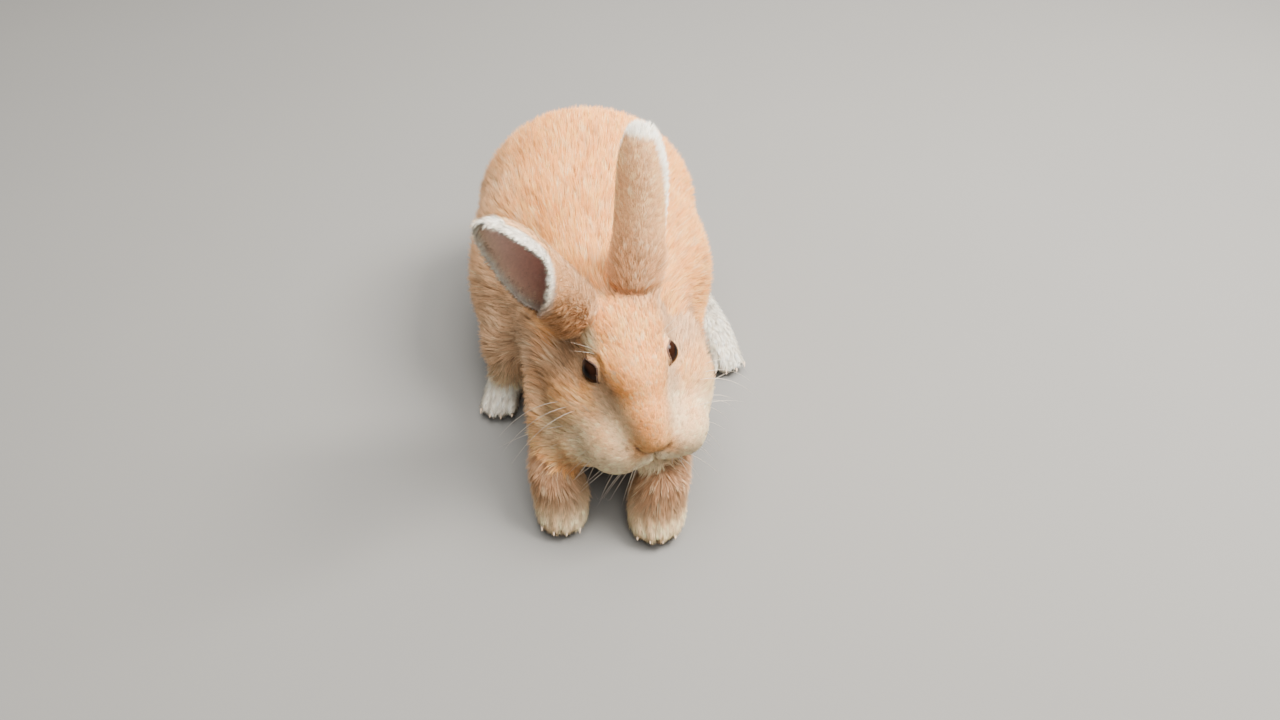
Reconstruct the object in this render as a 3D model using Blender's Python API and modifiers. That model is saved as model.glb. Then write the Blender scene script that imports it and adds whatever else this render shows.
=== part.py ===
"""A life-size crouching rabbit with a fawn coat, as solids out to the tips of its fur.

The rabbit faces -Y, its left side is +X, and it rests on the plane Z = 0. Lengths in the tables are in
millimetres and MM turns them into metres. The body and the head are each blocked in with overlapping lumps,
fused and smoothed, and then carved into the parts that a person would name, with a thin gap between them.
"""

import math

import bmesh
import bpy
from mathutils import Matrix, Vector

MM = 0.001
GAP = 0.0004

# Where the floor point under the middle of the whole animal lies in the layout's own coordinates.
LAYOUT_CENTRE = Vector((-6.17, 4.94, 0.0))

# Head: the point midway between the eyes, and how the head is turned.
HEAD_CENTRE = Vector((12.0, -106.0, 109.0))
HEAD_PITCH_DOWN = math.radians(10.0)
HEAD_YAW_LEFT = math.radians(17.0)
HEAD_ROLL = math.radians(3.0)

EYE_SPACING = 45.4
EYE_RADIUS = 9.4
EYE_SETBACK = 1.5

BODY_VOXEL = 4.0
HEAD_VOXEL = 2.5
BODY_TRIANGLES = 1340
HEAD_TRIANGLES = 800

# Lumps of the trunk: centre, half sizes along X, Y and Z, and how far the nose-up end is pitched, in degrees.
TRUNK_LUMPS = {
    "rump": ((-25, 94, 87), (90, 82, 82), 0),
    "loin": ((-24, 48, 84), (92, 88, 78), 0),
    "ribs": ((-9, -22, 80), (67, 80, 69), 0),
    "shoulders": ((2, -66, 74), (56, 50, 56), 0),
    "belly": ((-14, 25, 50), (66, 106, 42), 0),
    "breast": ((4, -96, 62), (44, 32, 36), 0),
}
NECK_LUMPS = {
    "nape": ((4, -66, 98), (46, 46, 38), 0),
    "ruff_right": ((-30, -84, 72), (36, 36, 36), 0),
    "ruff_left": ((39, -70, 72), (35, 36, 36), 0),
    "bib_right": ((-34, -113, 60), (29, 28, 25), 0),
    "bib_left": ((38, -108, 58), (29, 28, 27), 0),
}
TAIL_LUMPS = {
    "tail_root": ((-22, 163, 64), (20, 20, 24), 0),
    "tail_tuft": ((-22, 174, 76), (19, 17, 26), 0),
}

# Lumps of the head, along its own forward, left and up directions from between the eyes. Paired ones mirror.
HEAD_LUMPS = {
    "cranium": ((-22, 0, 0), (36, 34, 28), 0),
    "forehead": ((5, 0, 3), (32, 25, 20), -8),
    "face": ((-6, 0, -22), (44, 40, 30), 0),
    "bridge": ((28, 0, -8), (31, 19, 17), -20),
    "nose": ((47, 0, -18), (12, 12, 11), 0),
    "chin": ((33, 0, -55), (21, 25, 12), 10),
    "throat": ((-6, 0, -36), (40, 34, 26), 0),
    "right_jowl": ((8, -40, -51), (33, 29, 23), 0),
}
PAIRED_HEAD_LUMPS = {
    "brow": ((2, 17, 10), (16, 9, 7), 0),
    "cheekbone": ((-16, 22, -18), (27, 22, 20), 0),
    "muzzle": ((31, 20, -36), (28, 25, 23), 8),
    "jowl": ((10, 30, -40), (30, 24, 22), 0),
    "cheek": ((-6, 30, -33), (38, 31, 30), 0),
    "ear_root": ((-38, 18, 12), (17, 15, 14), 0),
}

# Ears: the root in the head's own directions, then which way each ear leans and opens in the layout. The profile
# gives, at shares of the length, half the wall's width, half the angle that it wraps round, and its twist.
EARS = {
    "left": {
        "root": (-40, 12.5, 13),
        "lean": (0.078, 0.265, 0.961),
        "opening": (0.40, 0.92, 0.0),
        "profile": (
            (0.00, 38.0, 165.0, 0.0),
            (0.15, 42.0, 162.0, 0.0),
            (0.30, 40.0, 145.0, 0.0),
            (0.45, 33.0, 120.0, 0.0),
            (0.70, 28.0, 97.0, 0.0),
            (1.00, 27.5, 76.0, 0.0),
        ),
        "curl": -6.0,
    },
    "right": {
        "root": (-40, -24, 15),
        "lean": (-0.415, -0.278, 0.866),
        "opening": (0.05, -0.98, 0.0),
        "profile": (
            (0.00, 38.0, 168.0, 72.0),
            (0.15, 44.0, 168.0, 71.0),
            (0.30, 47.0, 163.0, 65.0),
            (0.42, 48.0, 148.0, 52.0),
            (0.55, 40.0, 120.0, 35.0),
            (0.70, 31.0, 88.0, 22.0),
            (0.85, 30.0, 80.0, 28.0),
            (1.00, 27.0, 70.0, 30.0),
        ),
        "curl": 10.0,
    },
}
EAR_LENGTH = 133.0
EAR_THICKNESS = 3.0
EAR_BURIED = 14.0
EAR_TIP_WIDTH = 4.5

# Limbs: joints from the body outwards with the limb's half thickness there.
FORELEGS = {
    "left": {
        "joints": ((36, -76, 64), (36, -104, 56), (31, -140, 36), (29, -152, 17)),
        "radii": (30, 28, 25, 19),
        "paw": ((29, -156, 10), (23, 25, 13)),
        "toe_line": (29, -171, 7.5),
        "toe_yaw": 2.0,
    },
    "right": {
        "joints": ((-34, -76, 62), (-38, -102, 54), (-37, -134, 34), (-36, -146, 17)),
        "radii": (30, 29, 25, 19),
        "paw": ((-36, -150, 10), (21, 24, 12)),
        "toe_line": (-36, -165, 7.5),
        "toe_yaw": -4.0,
    },
}
HIND_LEGS = {
    "left": {
        "haunch": ((33, 40, 66), (43, 74, 60), 10),
        "knee": ((42, -16, 48), (27, 36, 34), 0),
        "heel": (60, 88, 12),
        "toe": (87, -2, 11),
    },
    "right": {
        "haunch": ((-75, 40, 66), (43, 74, 60), 10),
        "knee": ((-78, -18, 48), (28, 36, 34), 0),
        "heel": (-72, 56, 12),
        "toe": (-90, -50, 11),
    },
}
HIND_FOOT_RADII = (13, 16, 17, 15)
TOE_COUNT = 4
FORE_TOE_SPREAD = 8.6
HIND_TOE_SPREAD = 8.2
TOE_RADII = (5.6, 9.5, 6.6)
CLAW_LENGTH = 7.0
CLAW_RADIUS = 1.25

COATS = {
    "fawn_fur": ((0.66, 0.40, 0.22), 0.9),
    "cream_fur": ((0.83, 0.70, 0.52), 0.9),
    "ear_fur": ((0.62, 0.42, 0.28), 0.85),
    "nose_fur": ((0.72, 0.46, 0.30), 0.8),
    "dark_eye": ((0.02, 0.008, 0.005), 0.08),
    "claw_horn": ((0.72, 0.62, 0.50), 0.45),
}


def clear_scene():
    """Removes every object that the scene starts with."""
    for leftover in list(bpy.data.objects):
        bpy.data.objects.remove(leftover)


def make_materials():
    """One Principled material for each finish, by name."""
    made = {}
    for name, (colour, roughness) in COATS.items():
        material = bpy.data.materials.new(name)
        material.use_nodes = True
        shader = material.node_tree.nodes["Principled BSDF"]
        shader.inputs["Base Color"].default_value = (*colour, 1.0)
        shader.inputs["Roughness"].default_value = roughness
        made[name] = material
    return made


def new_object(name, shape, collection):
    """Makes an object of a bmesh in a collection."""
    mesh = bpy.data.meshes.new(name)
    shape.to_mesh(mesh)
    shape.free()
    made = bpy.data.objects.new(name, mesh)
    collection.objects.link(made)
    return made


def place(point):
    """A point of the layout, in millimetres, as a point of the model, in metres."""
    return (Vector(point) - LAYOUT_CENTRE) * MM


def head_frame():
    """The matrix that carries (forward, left, up) millimetres of the head to the model."""
    pitch = Matrix.Rotation(HEAD_PITCH_DOWN, 4, "Y")
    roll = Matrix.Rotation(HEAD_ROLL, 4, "X")
    yaw = Matrix.Rotation(HEAD_YAW_LEFT - math.pi / 2, 4, "Z")
    return Matrix.Translation(place(HEAD_CENTRE)) @ yaw @ pitch @ roll @ Matrix.Scale(MM, 4)


def body_frame():
    """The matrix that carries layout millimetres to the model."""
    return Matrix.Translation(place((0, 0, 0))) @ Matrix.Scale(MM, 4)


def add_lump(shape, frame, centre, radii, pitch=0.0, turn=0.0, segments=24):
    """Adds an ellipsoid, pitched about its second axis and turned about its third, to a bmesh."""
    tilt = Matrix.Rotation(math.radians(turn), 4, "Z") @ Matrix.Rotation(math.radians(-pitch), 4, "Y")
    if frame is BODY:
        tilt = Matrix.Rotation(math.radians(turn), 4, "Z") @ Matrix.Rotation(math.radians(-pitch), 4, "X")
    stretch = Matrix.Diagonal((*radii, 1.0))
    bmesh.ops.create_uvsphere(
        shape,
        u_segments=segments,
        v_segments=segments // 2,
        radius=1.0,
        matrix=frame @ Matrix.Translation(Vector(centre)) @ tilt @ stretch,
    )


def add_limb(shape, joints, radii, squash=1.0):
    """Adds a tapering limb to a bmesh: a row of close balls along its joints."""
    steps = 6
    for start, end, thick, thin in zip(joints, joints[1:], radii, radii[1:]):
        for step in range(steps + 1):
            share = step / steps
            radius = thick + (thin - thick) * share
            add_lump(shape, BODY, Vector(start).lerp(Vector(end), share), (radius, radius, radius * squash))


def fuse(name, shape, voxel, smoothing, triangles, collection):
    """Fuses a bmesh of overlapping lumps into one smooth closed object with about that many triangles."""
    blocked_in = new_object(name + "_lumps", shape, collection)
    remesh = blocked_in.modifiers.new("fuse", "REMESH")
    remesh.mode = "VOXEL"
    remesh.voxel_size = voxel * MM
    soften = blocked_in.modifiers.new("soften", "SMOOTH")
    soften.factor = 0.5
    soften.iterations = smoothing
    fused = bake(blocked_in, name)
    fused.data.calc_loop_triangles()
    thin = fused.modifiers.new("thin", "DECIMATE")
    thin.ratio = triangles / len(fused.data.loop_triangles)
    thin.use_collapse_triangulate = True
    return bake(fused, name)


def bake(source, name):
    """Replaces an object by a plain mesh object of its evaluated shape."""
    graph = bpy.context.evaluated_depsgraph_get()
    mesh = bpy.data.meshes.new_from_object(source.evaluated_get(graph))
    home = source.users_collection[0]
    matrix = source.matrix_world.copy()
    bpy.data.objects.remove(source)
    made = bpy.data.objects.new(name, mesh)
    made.matrix_world = matrix
    home.objects.link(made)
    return made


def boolean(target, other, operation):
    """Cuts, joins or intersects the target with another closed object, and bakes the result."""
    name = target.name
    step = target.modifiers.new(operation, "BOOLEAN")
    step.operation = operation
    step.object = other
    return bake(target, name)


def grown(source, name, amount=GAP):
    """A copy of a closed object that stands out by the gap all round."""
    copy = bpy.data.objects.new(name, source.data.copy())
    CUTTERS.objects.link(copy)
    swell = copy.modifiers.new("swell", "DISPLACE")
    swell.strength = amount
    swell.mid_level = 0.0
    return bake(copy, name)


def keep_largest(item):
    """Drops any loose crumbs that a cut leaves beside an object's main piece."""
    shape = bmesh.new()
    shape.from_mesh(item.data)
    waiting = set(shape.verts)
    pieces = []
    while waiting:
        front = [waiting.pop()]
        piece = set(front)
        while front:
            for edge in front.pop().link_edges:
                for vert in edge.verts:
                    if vert in waiting:
                        waiting.discard(vert)
                        piece.add(vert)
                        front.append(vert)
        pieces.append(piece)
    pieces.sort(key=len, reverse=True)
    crumbs = [vert for piece in pieces[1:] for vert in piece]
    bmesh.ops.delete(shape, geom=crumbs, context="VERTS")
    shape.to_mesh(item.data)
    shape.free()
    return item


def carve(whole, region, name):
    """Splits off the part of a whole inside a region. Returns the part and what is left of the whole."""
    part = bpy.data.objects.new(name, whole.data.copy())
    PARTS.objects.link(part)
    part = keep_largest(boolean(part, region, "INTERSECT"))
    room = grown(region, region.name + "_room")
    return part, keep_largest(boolean(whole, room, "DIFFERENCE"))


def slab(name, centre, normal, depth, width=400.0):
    """A closed box whose one face lies at the centre, reaching depth behind it against the normal."""
    shape = bmesh.new()
    bmesh.ops.create_cube(shape, size=1.0)
    turn = Vector(normal).to_track_quat("Z", "Y").to_matrix().to_4x4()
    size = Matrix.Diagonal((width * MM, width * MM, depth * MM, 1.0))
    shift = Matrix.Translation((0, 0, -depth * MM / 2))
    bmesh.ops.transform(shape, matrix=Matrix.Translation(centre) @ turn @ shift @ size, verts=shape.verts)
    return new_object(name, shape, CUTTERS)


def add_feet(shape):
    """Adds the four furry feet, with their toes, to the body's lumps."""
    for side in FORELEGS.values():
        add_limb(shape, side["joints"], side["radii"])
        add_lump(shape, BODY, *side["paw"])
        for centre in toe_centres(side["toe_line"], side["toe_yaw"], FORE_TOE_SPREAD):
            add_lump(shape, BODY, centre, TOE_RADII, turn=side["toe_yaw"])
    for side in HIND_LEGS.values():
        add_lump(shape, BODY, *side["haunch"])
        add_lump(shape, BODY, *side["knee"])
        heel, toe = Vector(side["heel"]), Vector(side["toe"])
        joints = [heel.lerp(toe, share) for share in (0.0, 0.33, 0.66, 0.95)]
        add_limb(shape, joints, HIND_FOOT_RADII, squash=0.8)
        for centre in hind_toes(side):
            add_lump(shape, BODY, centre, TOE_RADII, turn=foot_yaw(side))


def foot_yaw(side):
    """How far a hind foot points to the animal's left, in degrees."""
    along = Vector(side["toe"]) - Vector(side["heel"])
    return math.degrees(math.atan2(along.x, -along.y))


def hind_toes(side):
    """The middles of the toes of a hind foot."""
    heel, toe = Vector(side["heel"]), Vector(side["toe"])
    line = toe + (toe - heel).normalized() * 8 - Vector((0, 0, 4))
    return toe_centres(line, foot_yaw(side), HIND_TOE_SPREAD)


def toe_centres(line, yaw, spread):
    """The middles of the toes of one foot: a slightly bowed row across its front."""
    across = Matrix.Rotation(math.radians(yaw), 3, "Z")
    centres = []
    for number in range(TOE_COUNT):
        offset = number - (TOE_COUNT - 1) / 2
        bow = 1.6 * offset * offset
        centres.append(Vector(line) + across @ Vector((offset * spread, bow, 0)))
    return centres


def flatten_soles(body):
    """Gives every foot a small flat sole on the floor."""
    underground = slab("underground", Vector((0, 0, 0)), (0, 0, 1), 60.0, 600.0)
    return boolean(body, underground, "DIFFERENCE")


def build_body():
    """The trunk, neck, legs, feet and tail fused as one."""
    shape = bmesh.new()
    for group in (TRUNK_LUMPS, NECK_LUMPS, TAIL_LUMPS):
        for lump in group.values():
            add_lump(shape, BODY, *lump)
    add_feet(shape)
    body = fuse("trunk", shape, BODY_VOXEL, 14, BODY_TRIANGLES, PARTS)
    return flatten_soles(body)


def build_head():
    """The head without its ears, as one solid."""
    shape = bmesh.new()
    for centre, radii, pitch in HEAD_LUMPS.values():
        add_lump(shape, HEAD, centre, radii, pitch)
    for centre, radii, pitch in PAIRED_HEAD_LUMPS.values():
        for side in (1, -1):
            add_lump(shape, HEAD, (centre[0], centre[1] * side, centre[2]), radii, pitch)
    return fuse("head", shape, HEAD_VOXEL, 9, HEAD_TRIANGLES, PARTS)


def build_eye(name, side):
    """One eyeball, seated in the side of the head."""
    shape = bmesh.new()
    centre = HEAD @ Vector((-EYE_SETBACK, side * EYE_SPACING / 2, 0))
    turn = HEAD.to_quaternion().to_matrix().to_4x4() @ Matrix.Rotation(-side * math.pi / 2, 4, "X")
    bmesh.ops.create_uvsphere(
        shape, u_segments=16, v_segments=9, radius=EYE_RADIUS * MM, matrix=Matrix.Translation(centre) @ turn
    )
    return new_object(name, shape, PARTS)


def ear_sheet(root, lean, opening, profile, curl, along=12, across=9):
    """A bmesh of the ear's thin cupped blade: nearly a tube at its root, open like a spoon towards its tip."""
    axis = Vector(lean).normalized()
    front = (Vector(opening) - axis * Vector(opening).dot(axis)).normalized()
    side = axis.cross(front)
    base = HEAD @ Vector(root)
    shape = bmesh.new()
    rows = []
    for i in range(along + 1):
        share = i / along
        half_width, half_angle, twist = ear_measures(profile, share)
        radius = half_width / half_angle
        centre = base + (axis * (EAR_LENGTH * share - EAR_BURIED) + front * curl * share * share) * MM
        row = []
        for j in range(across + 1):
            angle = half_angle * (2 * j / across - 1) + twist
            offset = side * math.sin(angle) * radius - front * (math.cos(angle) - 0.4) * radius
            row.append(shape.verts.new(centre + offset * MM))
        rows.append(row)
    for near, far in zip(rows, rows[1:]):
        for j in range(across):
            shape.faces.new((near[j], near[j + 1], far[j + 1], far[j]))
    return shape


def ear_measures(profile, share):
    """An ear's half width in millimetres, half angle and twist in radians, at a share of its length."""
    shares = [row[0] for row in profile]
    width, angle, twist = (smooth_read(shares, [row[column] for row in profile], share) for column in (1, 2, 3))
    rounding = math.sqrt(max(0.0, 1 - max(0.0, (share - 0.52) / 0.485) ** 2.4))
    return max(EAR_TIP_WIDTH, width * rounding), math.radians(angle), math.radians(twist)


def smooth_read(places, values, place_at):
    """Reads a row of values between its places along a smooth line that never overshoots them."""
    rises = [(high - low) / (b - a) for low, high, a, b in zip(values, values[1:], places, places[1:])]
    slopes = [rises[0]]
    slopes += [0.0 if a * b <= 0 else 2 * a * b / (a + b) for a, b in zip(rises, rises[1:])]
    slopes.append(rises[-1])
    step = max(0, min(len(rises) - 1, sum(place < place_at for place in places) - 1))
    gap = places[step + 1] - places[step]
    share = (place_at - places[step]) / gap
    start = values[step] * (2 * share**3 - 3 * share**2 + 1) + gap * slopes[step] * (share**3 - 2 * share**2 + share)
    end = values[step + 1] * (3 * share**2 - 2 * share**3) + gap * slopes[step + 1] * (share**3 - share**2)
    return start + end


def build_ear(name, side, head):
    """One ear with its root cut to the head, and a cutter that clears the body for it."""
    shape = ear_sheet(**EARS[side])
    bmesh.ops.recalc_face_normals(shape, faces=shape.faces)
    blade = new_object(name, shape, PARTS)
    wall = blade.modifiers.new("wall", "SOLIDIFY")
    wall.thickness = EAR_THICKNESS * MM
    wall.offset = 0.0
    blade = bake(blade, name)
    clearance = grown(blade, name + "_clearance", 2 * GAP)
    return keep_largest(boolean(blade, grown(head, name + "_room"), "DIFFERENCE")), clearance


def build_claws(name, centres, yaw, foot):
    """The claws of one foot, each a curved cone that starts flush with its toe."""
    room = grown(foot, name + "_foot_room")
    claws = []
    for number, centre in enumerate(centres, start=1):
        shape = bmesh.new()
        heading = Matrix.Rotation(math.radians(yaw), 4, "Z") @ Matrix.Rotation(math.radians(72), 4, "X")
        start = place(centre + Matrix.Rotation(math.radians(yaw), 3, "Z") @ Vector((0, -6.0, -0.5)))
        bmesh.ops.create_cone(
            shape,
            cap_ends=True,
            segments=6,
            radius1=CLAW_RADIUS * MM,
            radius2=CLAW_RADIUS * MM * 0.3,
            depth=CLAW_LENGTH * MM,
            matrix=Matrix.Translation(start) @ heading,
        )
        claw = new_object(f"{name}_{number}", shape, PARTS)
        claws.append(keep_largest(boolean(claw, room, "DIFFERENCE")))
    return claws


def dress(objects, material):
    """Gives objects their material and smooth shading."""
    for item in objects:
        item.data.materials.clear()
        item.data.materials.append(material)
        item.data.shade_smooth()


def limb_region(name, joints, radii):
    """A smooth closed cutter round a stretch of limb."""
    shape = bmesh.new()
    add_limb(shape, joints, radii)
    return fuse(name, shape, 5.0, 3, 200, CUTTERS)


def foot_region(name, toe, heel, height, width):
    """A rounded block over a foot, from beyond its toes back to its heel."""
    toe, heel = Vector(toe), Vector(heel)
    along = (toe - heel).normalized()
    middle = (toe + heel) / 2
    length = (toe - heel).length
    yaw = math.degrees(math.atan2(along.x, -along.y))
    shape = bmesh.new()
    add_lump(shape, BODY, (middle.x, middle.y, 0), (width, length / 2, height), turn=yaw, segments=18)
    return new_object(name, shape, CUTTERS)


def carve_body(body, clearances):
    """Carves the body into the parts a person would name. Returns them by name."""
    parts = {}
    for clearance in clearances:
        body = keep_largest(boolean(body, clearance, "DIFFERENCE"))
    for side, leg in HIND_LEGS.items():
        heel, toe = Vector(leg["heel"]), Vector(leg["toe"])
        ahead = (toe - heel).normalized()
        region = foot_region(f"hindfoot_{side}_region", toe + ahead * 40, heel - ahead * 26, 31, 27)
        parts[f"hindfoot_{side}"], body = carve(body, region, f"hindfoot_{side}")
    for side, leg in FORELEGS.items():
        x, y, _ = leg["toe_line"]
        region = slab(f"forepaw_{side}_region", place((x, y + 4, 24)), (0, 0.25, 1), 60.0, 58.0)
        parts[f"forepaw_{side}"], body = carve(body, region, f"forepaw_{side}")
        joints = [Vector(joint) for joint in leg["joints"]]
        region = limb_region(f"foreleg_{side}_region", joints[1:], (34, 30, 28))
        parts[f"foreleg_{side}"], body = carve(body, region, f"foreleg_{side}")
    for side, leg in HIND_LEGS.items():
        centre, radii, _ = leg["haunch"]
        shape = bmesh.new()
        add_lump(shape, BODY, centre, [radius + 5 for radius in radii], 10, segments=16)
        region = new_object(f"haunch_{side}_region", shape, CUTTERS)
        parts[f"haunch_{side}"], body = carve(body, region, f"haunch_{side}")
    shape = bmesh.new()
    add_lump(shape, BODY, (-22, 190, 74), (32, 28, 40), segments=14)
    parts["tail"], body = carve(body, new_object("tail_region", shape, CUTTERS), "tail")
    collar = slab("neck_region", place((0, -74, 80)), (0.05, 1.0, 0.25), 200.0, 400.0)
    parts["neck"], body = carve(body, collar, "neck")
    parts["trunk"] = body
    return parts


def carve_head(head, eyes):
    """Cuts the eye sockets, the lower jaw and the nose from the head. Returns the parts by name."""
    for eye in eyes:
        head = keep_largest(boolean(head, grown(eye, eye.name + "_room"), "DIFFERENCE"))
    shape = bmesh.new()
    add_lump(shape, HEAD, (26, 0, -57), (38, 24, 17), -4, segments=16)
    jaw, head = carve(head, new_object("jaw_region", shape, CUTTERS), "jaw")
    shape = bmesh.new()
    add_lump(shape, HEAD, (57, 0, -19), (13, 8, 9), segments=10)
    nose, head = carve(head, new_object("nose_region", shape, CUTTERS), "nose")
    return {"head": head, "jaw": jaw, "nose": nose}


clear_scene()
MATERIALS = make_materials()
PARTS = bpy.data.collections.new("rabbit")
CUTTERS = bpy.data.collections.new("cutters")
for made in (PARTS, CUTTERS):
    bpy.context.scene.collection.children.link(made)
BODY = body_frame()
HEAD = head_frame()

head = build_head()
eyes = [build_eye("eye_left", 1), build_eye("eye_right", -1)]
ear_left, left_clearance = build_ear("ear_left", "left", head)
ear_right, right_clearance = build_ear("ear_right", "right", head)
head_clearance = grown(head, "head_clearance", 2 * GAP)
parts = carve_body(build_body(), (head_clearance, left_clearance, right_clearance))
parts.update(carve_head(head, eyes))
claws = []
for side, leg in FORELEGS.items():
    centres = toe_centres(leg["toe_line"], leg["toe_yaw"], FORE_TOE_SPREAD)
    claws += build_claws(f"foreclaw_{side}", centres, leg["toe_yaw"], parts[f"forepaw_{side}"])
for side, leg in HIND_LEGS.items():
    claws += build_claws(f"hindclaw_{side}", hind_toes(leg), foot_yaw(leg), parts[f"hindfoot_{side}"])

cream = ("jaw", "forepaw_left", "forepaw_right", "hindfoot_left", "hindfoot_right", "tail")
dress([part for name, part in parts.items() if name not in cream and name != "nose"], MATERIALS["fawn_fur"])
dress([parts[name] for name in cream], MATERIALS["cream_fur"])
dress([parts["nose"]], MATERIALS["nose_fur"])
dress([ear_left, ear_right], MATERIALS["ear_fur"])
dress(eyes, MATERIALS["dark_eye"])
dress(claws, MATERIALS["claw_horn"])
for cutter in CUTTERS.objects:
    cutter.hide_render = True
    cutter.display_type = "WIRE"
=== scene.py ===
"""Looks of a life-size crouching rabbit: its skin, coat, eyes, claws and whiskers round the solids.

The rabbit faces -Y with its left side on +X and rests on Z = 0. Names that end in _mm are in millimetres,
as are the head's own coordinates (forward, left, up from between the eyes), the marks and the furs' sizes.
Everything else is in metres.
"""

import sys
import logging
import math
from dataclasses import dataclass, field
from enum import Enum
from typing import Iterator, NamedTuple

import bmesh
import bpy
import numpy as np
from bpy.types import ID, GeometryNodeTree, Material, Mesh, Node, Object
from mathutils import Matrix, Vector
from mathutils.bvhtree import BVHTree
from mathutils.kdtree import KDTree


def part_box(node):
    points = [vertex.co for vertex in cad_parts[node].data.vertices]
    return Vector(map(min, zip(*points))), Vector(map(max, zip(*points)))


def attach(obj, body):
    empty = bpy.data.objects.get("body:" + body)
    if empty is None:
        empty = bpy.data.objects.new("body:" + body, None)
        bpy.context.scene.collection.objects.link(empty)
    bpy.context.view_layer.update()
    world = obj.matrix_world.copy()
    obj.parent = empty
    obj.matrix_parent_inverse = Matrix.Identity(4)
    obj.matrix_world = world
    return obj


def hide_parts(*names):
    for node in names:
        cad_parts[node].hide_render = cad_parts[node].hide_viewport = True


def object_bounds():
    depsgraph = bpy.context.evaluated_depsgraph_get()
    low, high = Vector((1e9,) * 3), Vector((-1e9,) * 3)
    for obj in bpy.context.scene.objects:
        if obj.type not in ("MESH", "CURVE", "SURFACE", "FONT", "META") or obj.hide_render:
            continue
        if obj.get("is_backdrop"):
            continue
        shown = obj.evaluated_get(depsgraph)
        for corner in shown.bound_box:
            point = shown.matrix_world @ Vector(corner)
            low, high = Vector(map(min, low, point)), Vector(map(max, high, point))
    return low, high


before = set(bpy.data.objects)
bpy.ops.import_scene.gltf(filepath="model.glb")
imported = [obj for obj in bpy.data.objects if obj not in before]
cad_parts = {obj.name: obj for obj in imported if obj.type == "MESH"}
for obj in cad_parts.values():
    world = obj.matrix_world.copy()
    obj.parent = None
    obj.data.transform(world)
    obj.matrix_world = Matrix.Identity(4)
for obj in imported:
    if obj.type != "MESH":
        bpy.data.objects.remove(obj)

Array = np.ndarray
MM = 0.001
COLOUR_NAME = "coat_colour"
BAKE_MAP = "OFBake"
BODY = "root"
SEED_STEP = 100
HEAD_PARTS = ("head", "jaw", "nose")
CLAWED_FEET = ("foreclaw", "hindclaw")
LOG = logging.getLogger("rabbit")


class Side(Enum):
    """The animal's own left and right, as the sign of its left-hand direction."""

    LEFT = 1
    RIGHT = -1

    @property
    def word(self) -> str:
        """The side as the CAD nodes spell it."""
        return self.name.lower()

    def claws(self, foot: str) -> list:
        """The CAD nodes of the four claws of one foot on this side."""
        return [f"{foot}_{self.word}_{number}" for number in range(1, 5)]


class Make(Enum):
    """How a tuft is built, a straight taper or one that bends half way, as its number of triangles."""

    STRAIGHT = 4
    BENT = 10


# ---- small tools


def unit(vectors: Array) -> Array:
    """Scales vectors, held along the last axis, to length one."""
    length = np.linalg.norm(vectors, axis=-1, keepdims=True)
    return vectors / np.maximum(length, 1e-12)


def smoothstep(low: float, high: float, value: Array) -> Array:
    """Rises smoothly from 0 at low to 1 at high; high may lie below low for a fall."""
    share = np.clip((value - low) / (high - low), 0.0, 1.0)
    return share * share * (3.0 - 2.0 * share)


def bell(far: Array, width: float) -> Array:
    """A smooth bump that is 1 where far is 0 and fades over a width."""
    return np.exp(-((far / width) ** 2))


def mix_in(base: Array, tint: tuple, amount: Array) -> Array:
    """Blends a tint into colours, as far as each point's amount says."""
    return base + (np.array(tint) - base) * amount[:, None]


def tangent_part(vectors: Array, normals: Array) -> Array:
    """Lays directions down along a surface with the given normals, at length one."""
    return unit(vectors - normals * np.sum(vectors * normals, axis=-1, keepdims=True))


def read_points(mesh: Mesh) -> Array:
    """Reads a mesh's points.

    Args:
        mesh: The mesh.

    Returns:
        Its points, one row each.
    """
    points = np.empty(len(mesh.vertices) * 3, np.float32)
    mesh.vertices.foreach_get("co", points)
    return points.reshape(-1, 3).astype(float)


def write_points(mesh: Mesh, points: Array) -> None:
    """Writes an array back as a mesh's points."""
    mesh.vertices.foreach_set("co", points.astype(np.float32).ravel())
    mesh.update()


def make_mesh(name: str, points: Array, faces: Array) -> Mesh:
    """Makes a mesh of triangles from arrays.

    Args:
        name: The mesh's name.
        points: The points, one row each.
        faces: Three point numbers for each triangle.

    Returns:
        The new mesh, shaded smooth.
    """
    mesh = bpy.data.meshes.new(name)
    mesh.vertices.add(len(points))
    mesh.vertices.foreach_set("co", points.astype(np.float32).ravel())
    mesh.loops.add(faces.size)
    mesh.loops.foreach_set("vertex_index", faces.astype(np.int32).ravel())
    mesh.polygons.add(len(faces))
    mesh.polygons.foreach_set("loop_start", np.arange(0, faces.size, 3, dtype=np.int32))
    mesh.polygons.foreach_set("loop_total", np.full(len(faces), 3, np.int32))
    mesh.update(calc_edges=True)
    mesh.shade_smooth()
    return mesh


def add_object(name: str, data: ID) -> Object:
    """Puts a mesh, a light or a camera in the scene as an object at the origin.

    Args:
        name: The object's name.
        data: Its mesh, light or camera.

    Returns:
        The new object.
    """
    made = bpy.data.objects.new(name, data)
    bpy.context.scene.collection.objects.link(made)
    return made


def settle(item: Object) -> None:
    """Turns an object's modifiers into its plain mesh.

    Args:
        item: An object with modifiers.
    """
    graph = bpy.context.evaluated_depsgraph_get()
    mesh = bpy.data.meshes.new_from_object(item.evaluated_get(graph))
    item.modifiers.clear()
    item.data = mesh


def face_outwards(mesh: Mesh) -> None:
    """Turns the faces of a closed mesh outwards.

    Args:
        mesh: The mesh, without doubles.
    """
    shape = bmesh.new()
    shape.from_mesh(mesh)
    bmesh.ops.recalc_face_normals(shape, faces=shape.faces)
    shape.to_mesh(mesh)
    shape.free()


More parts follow.
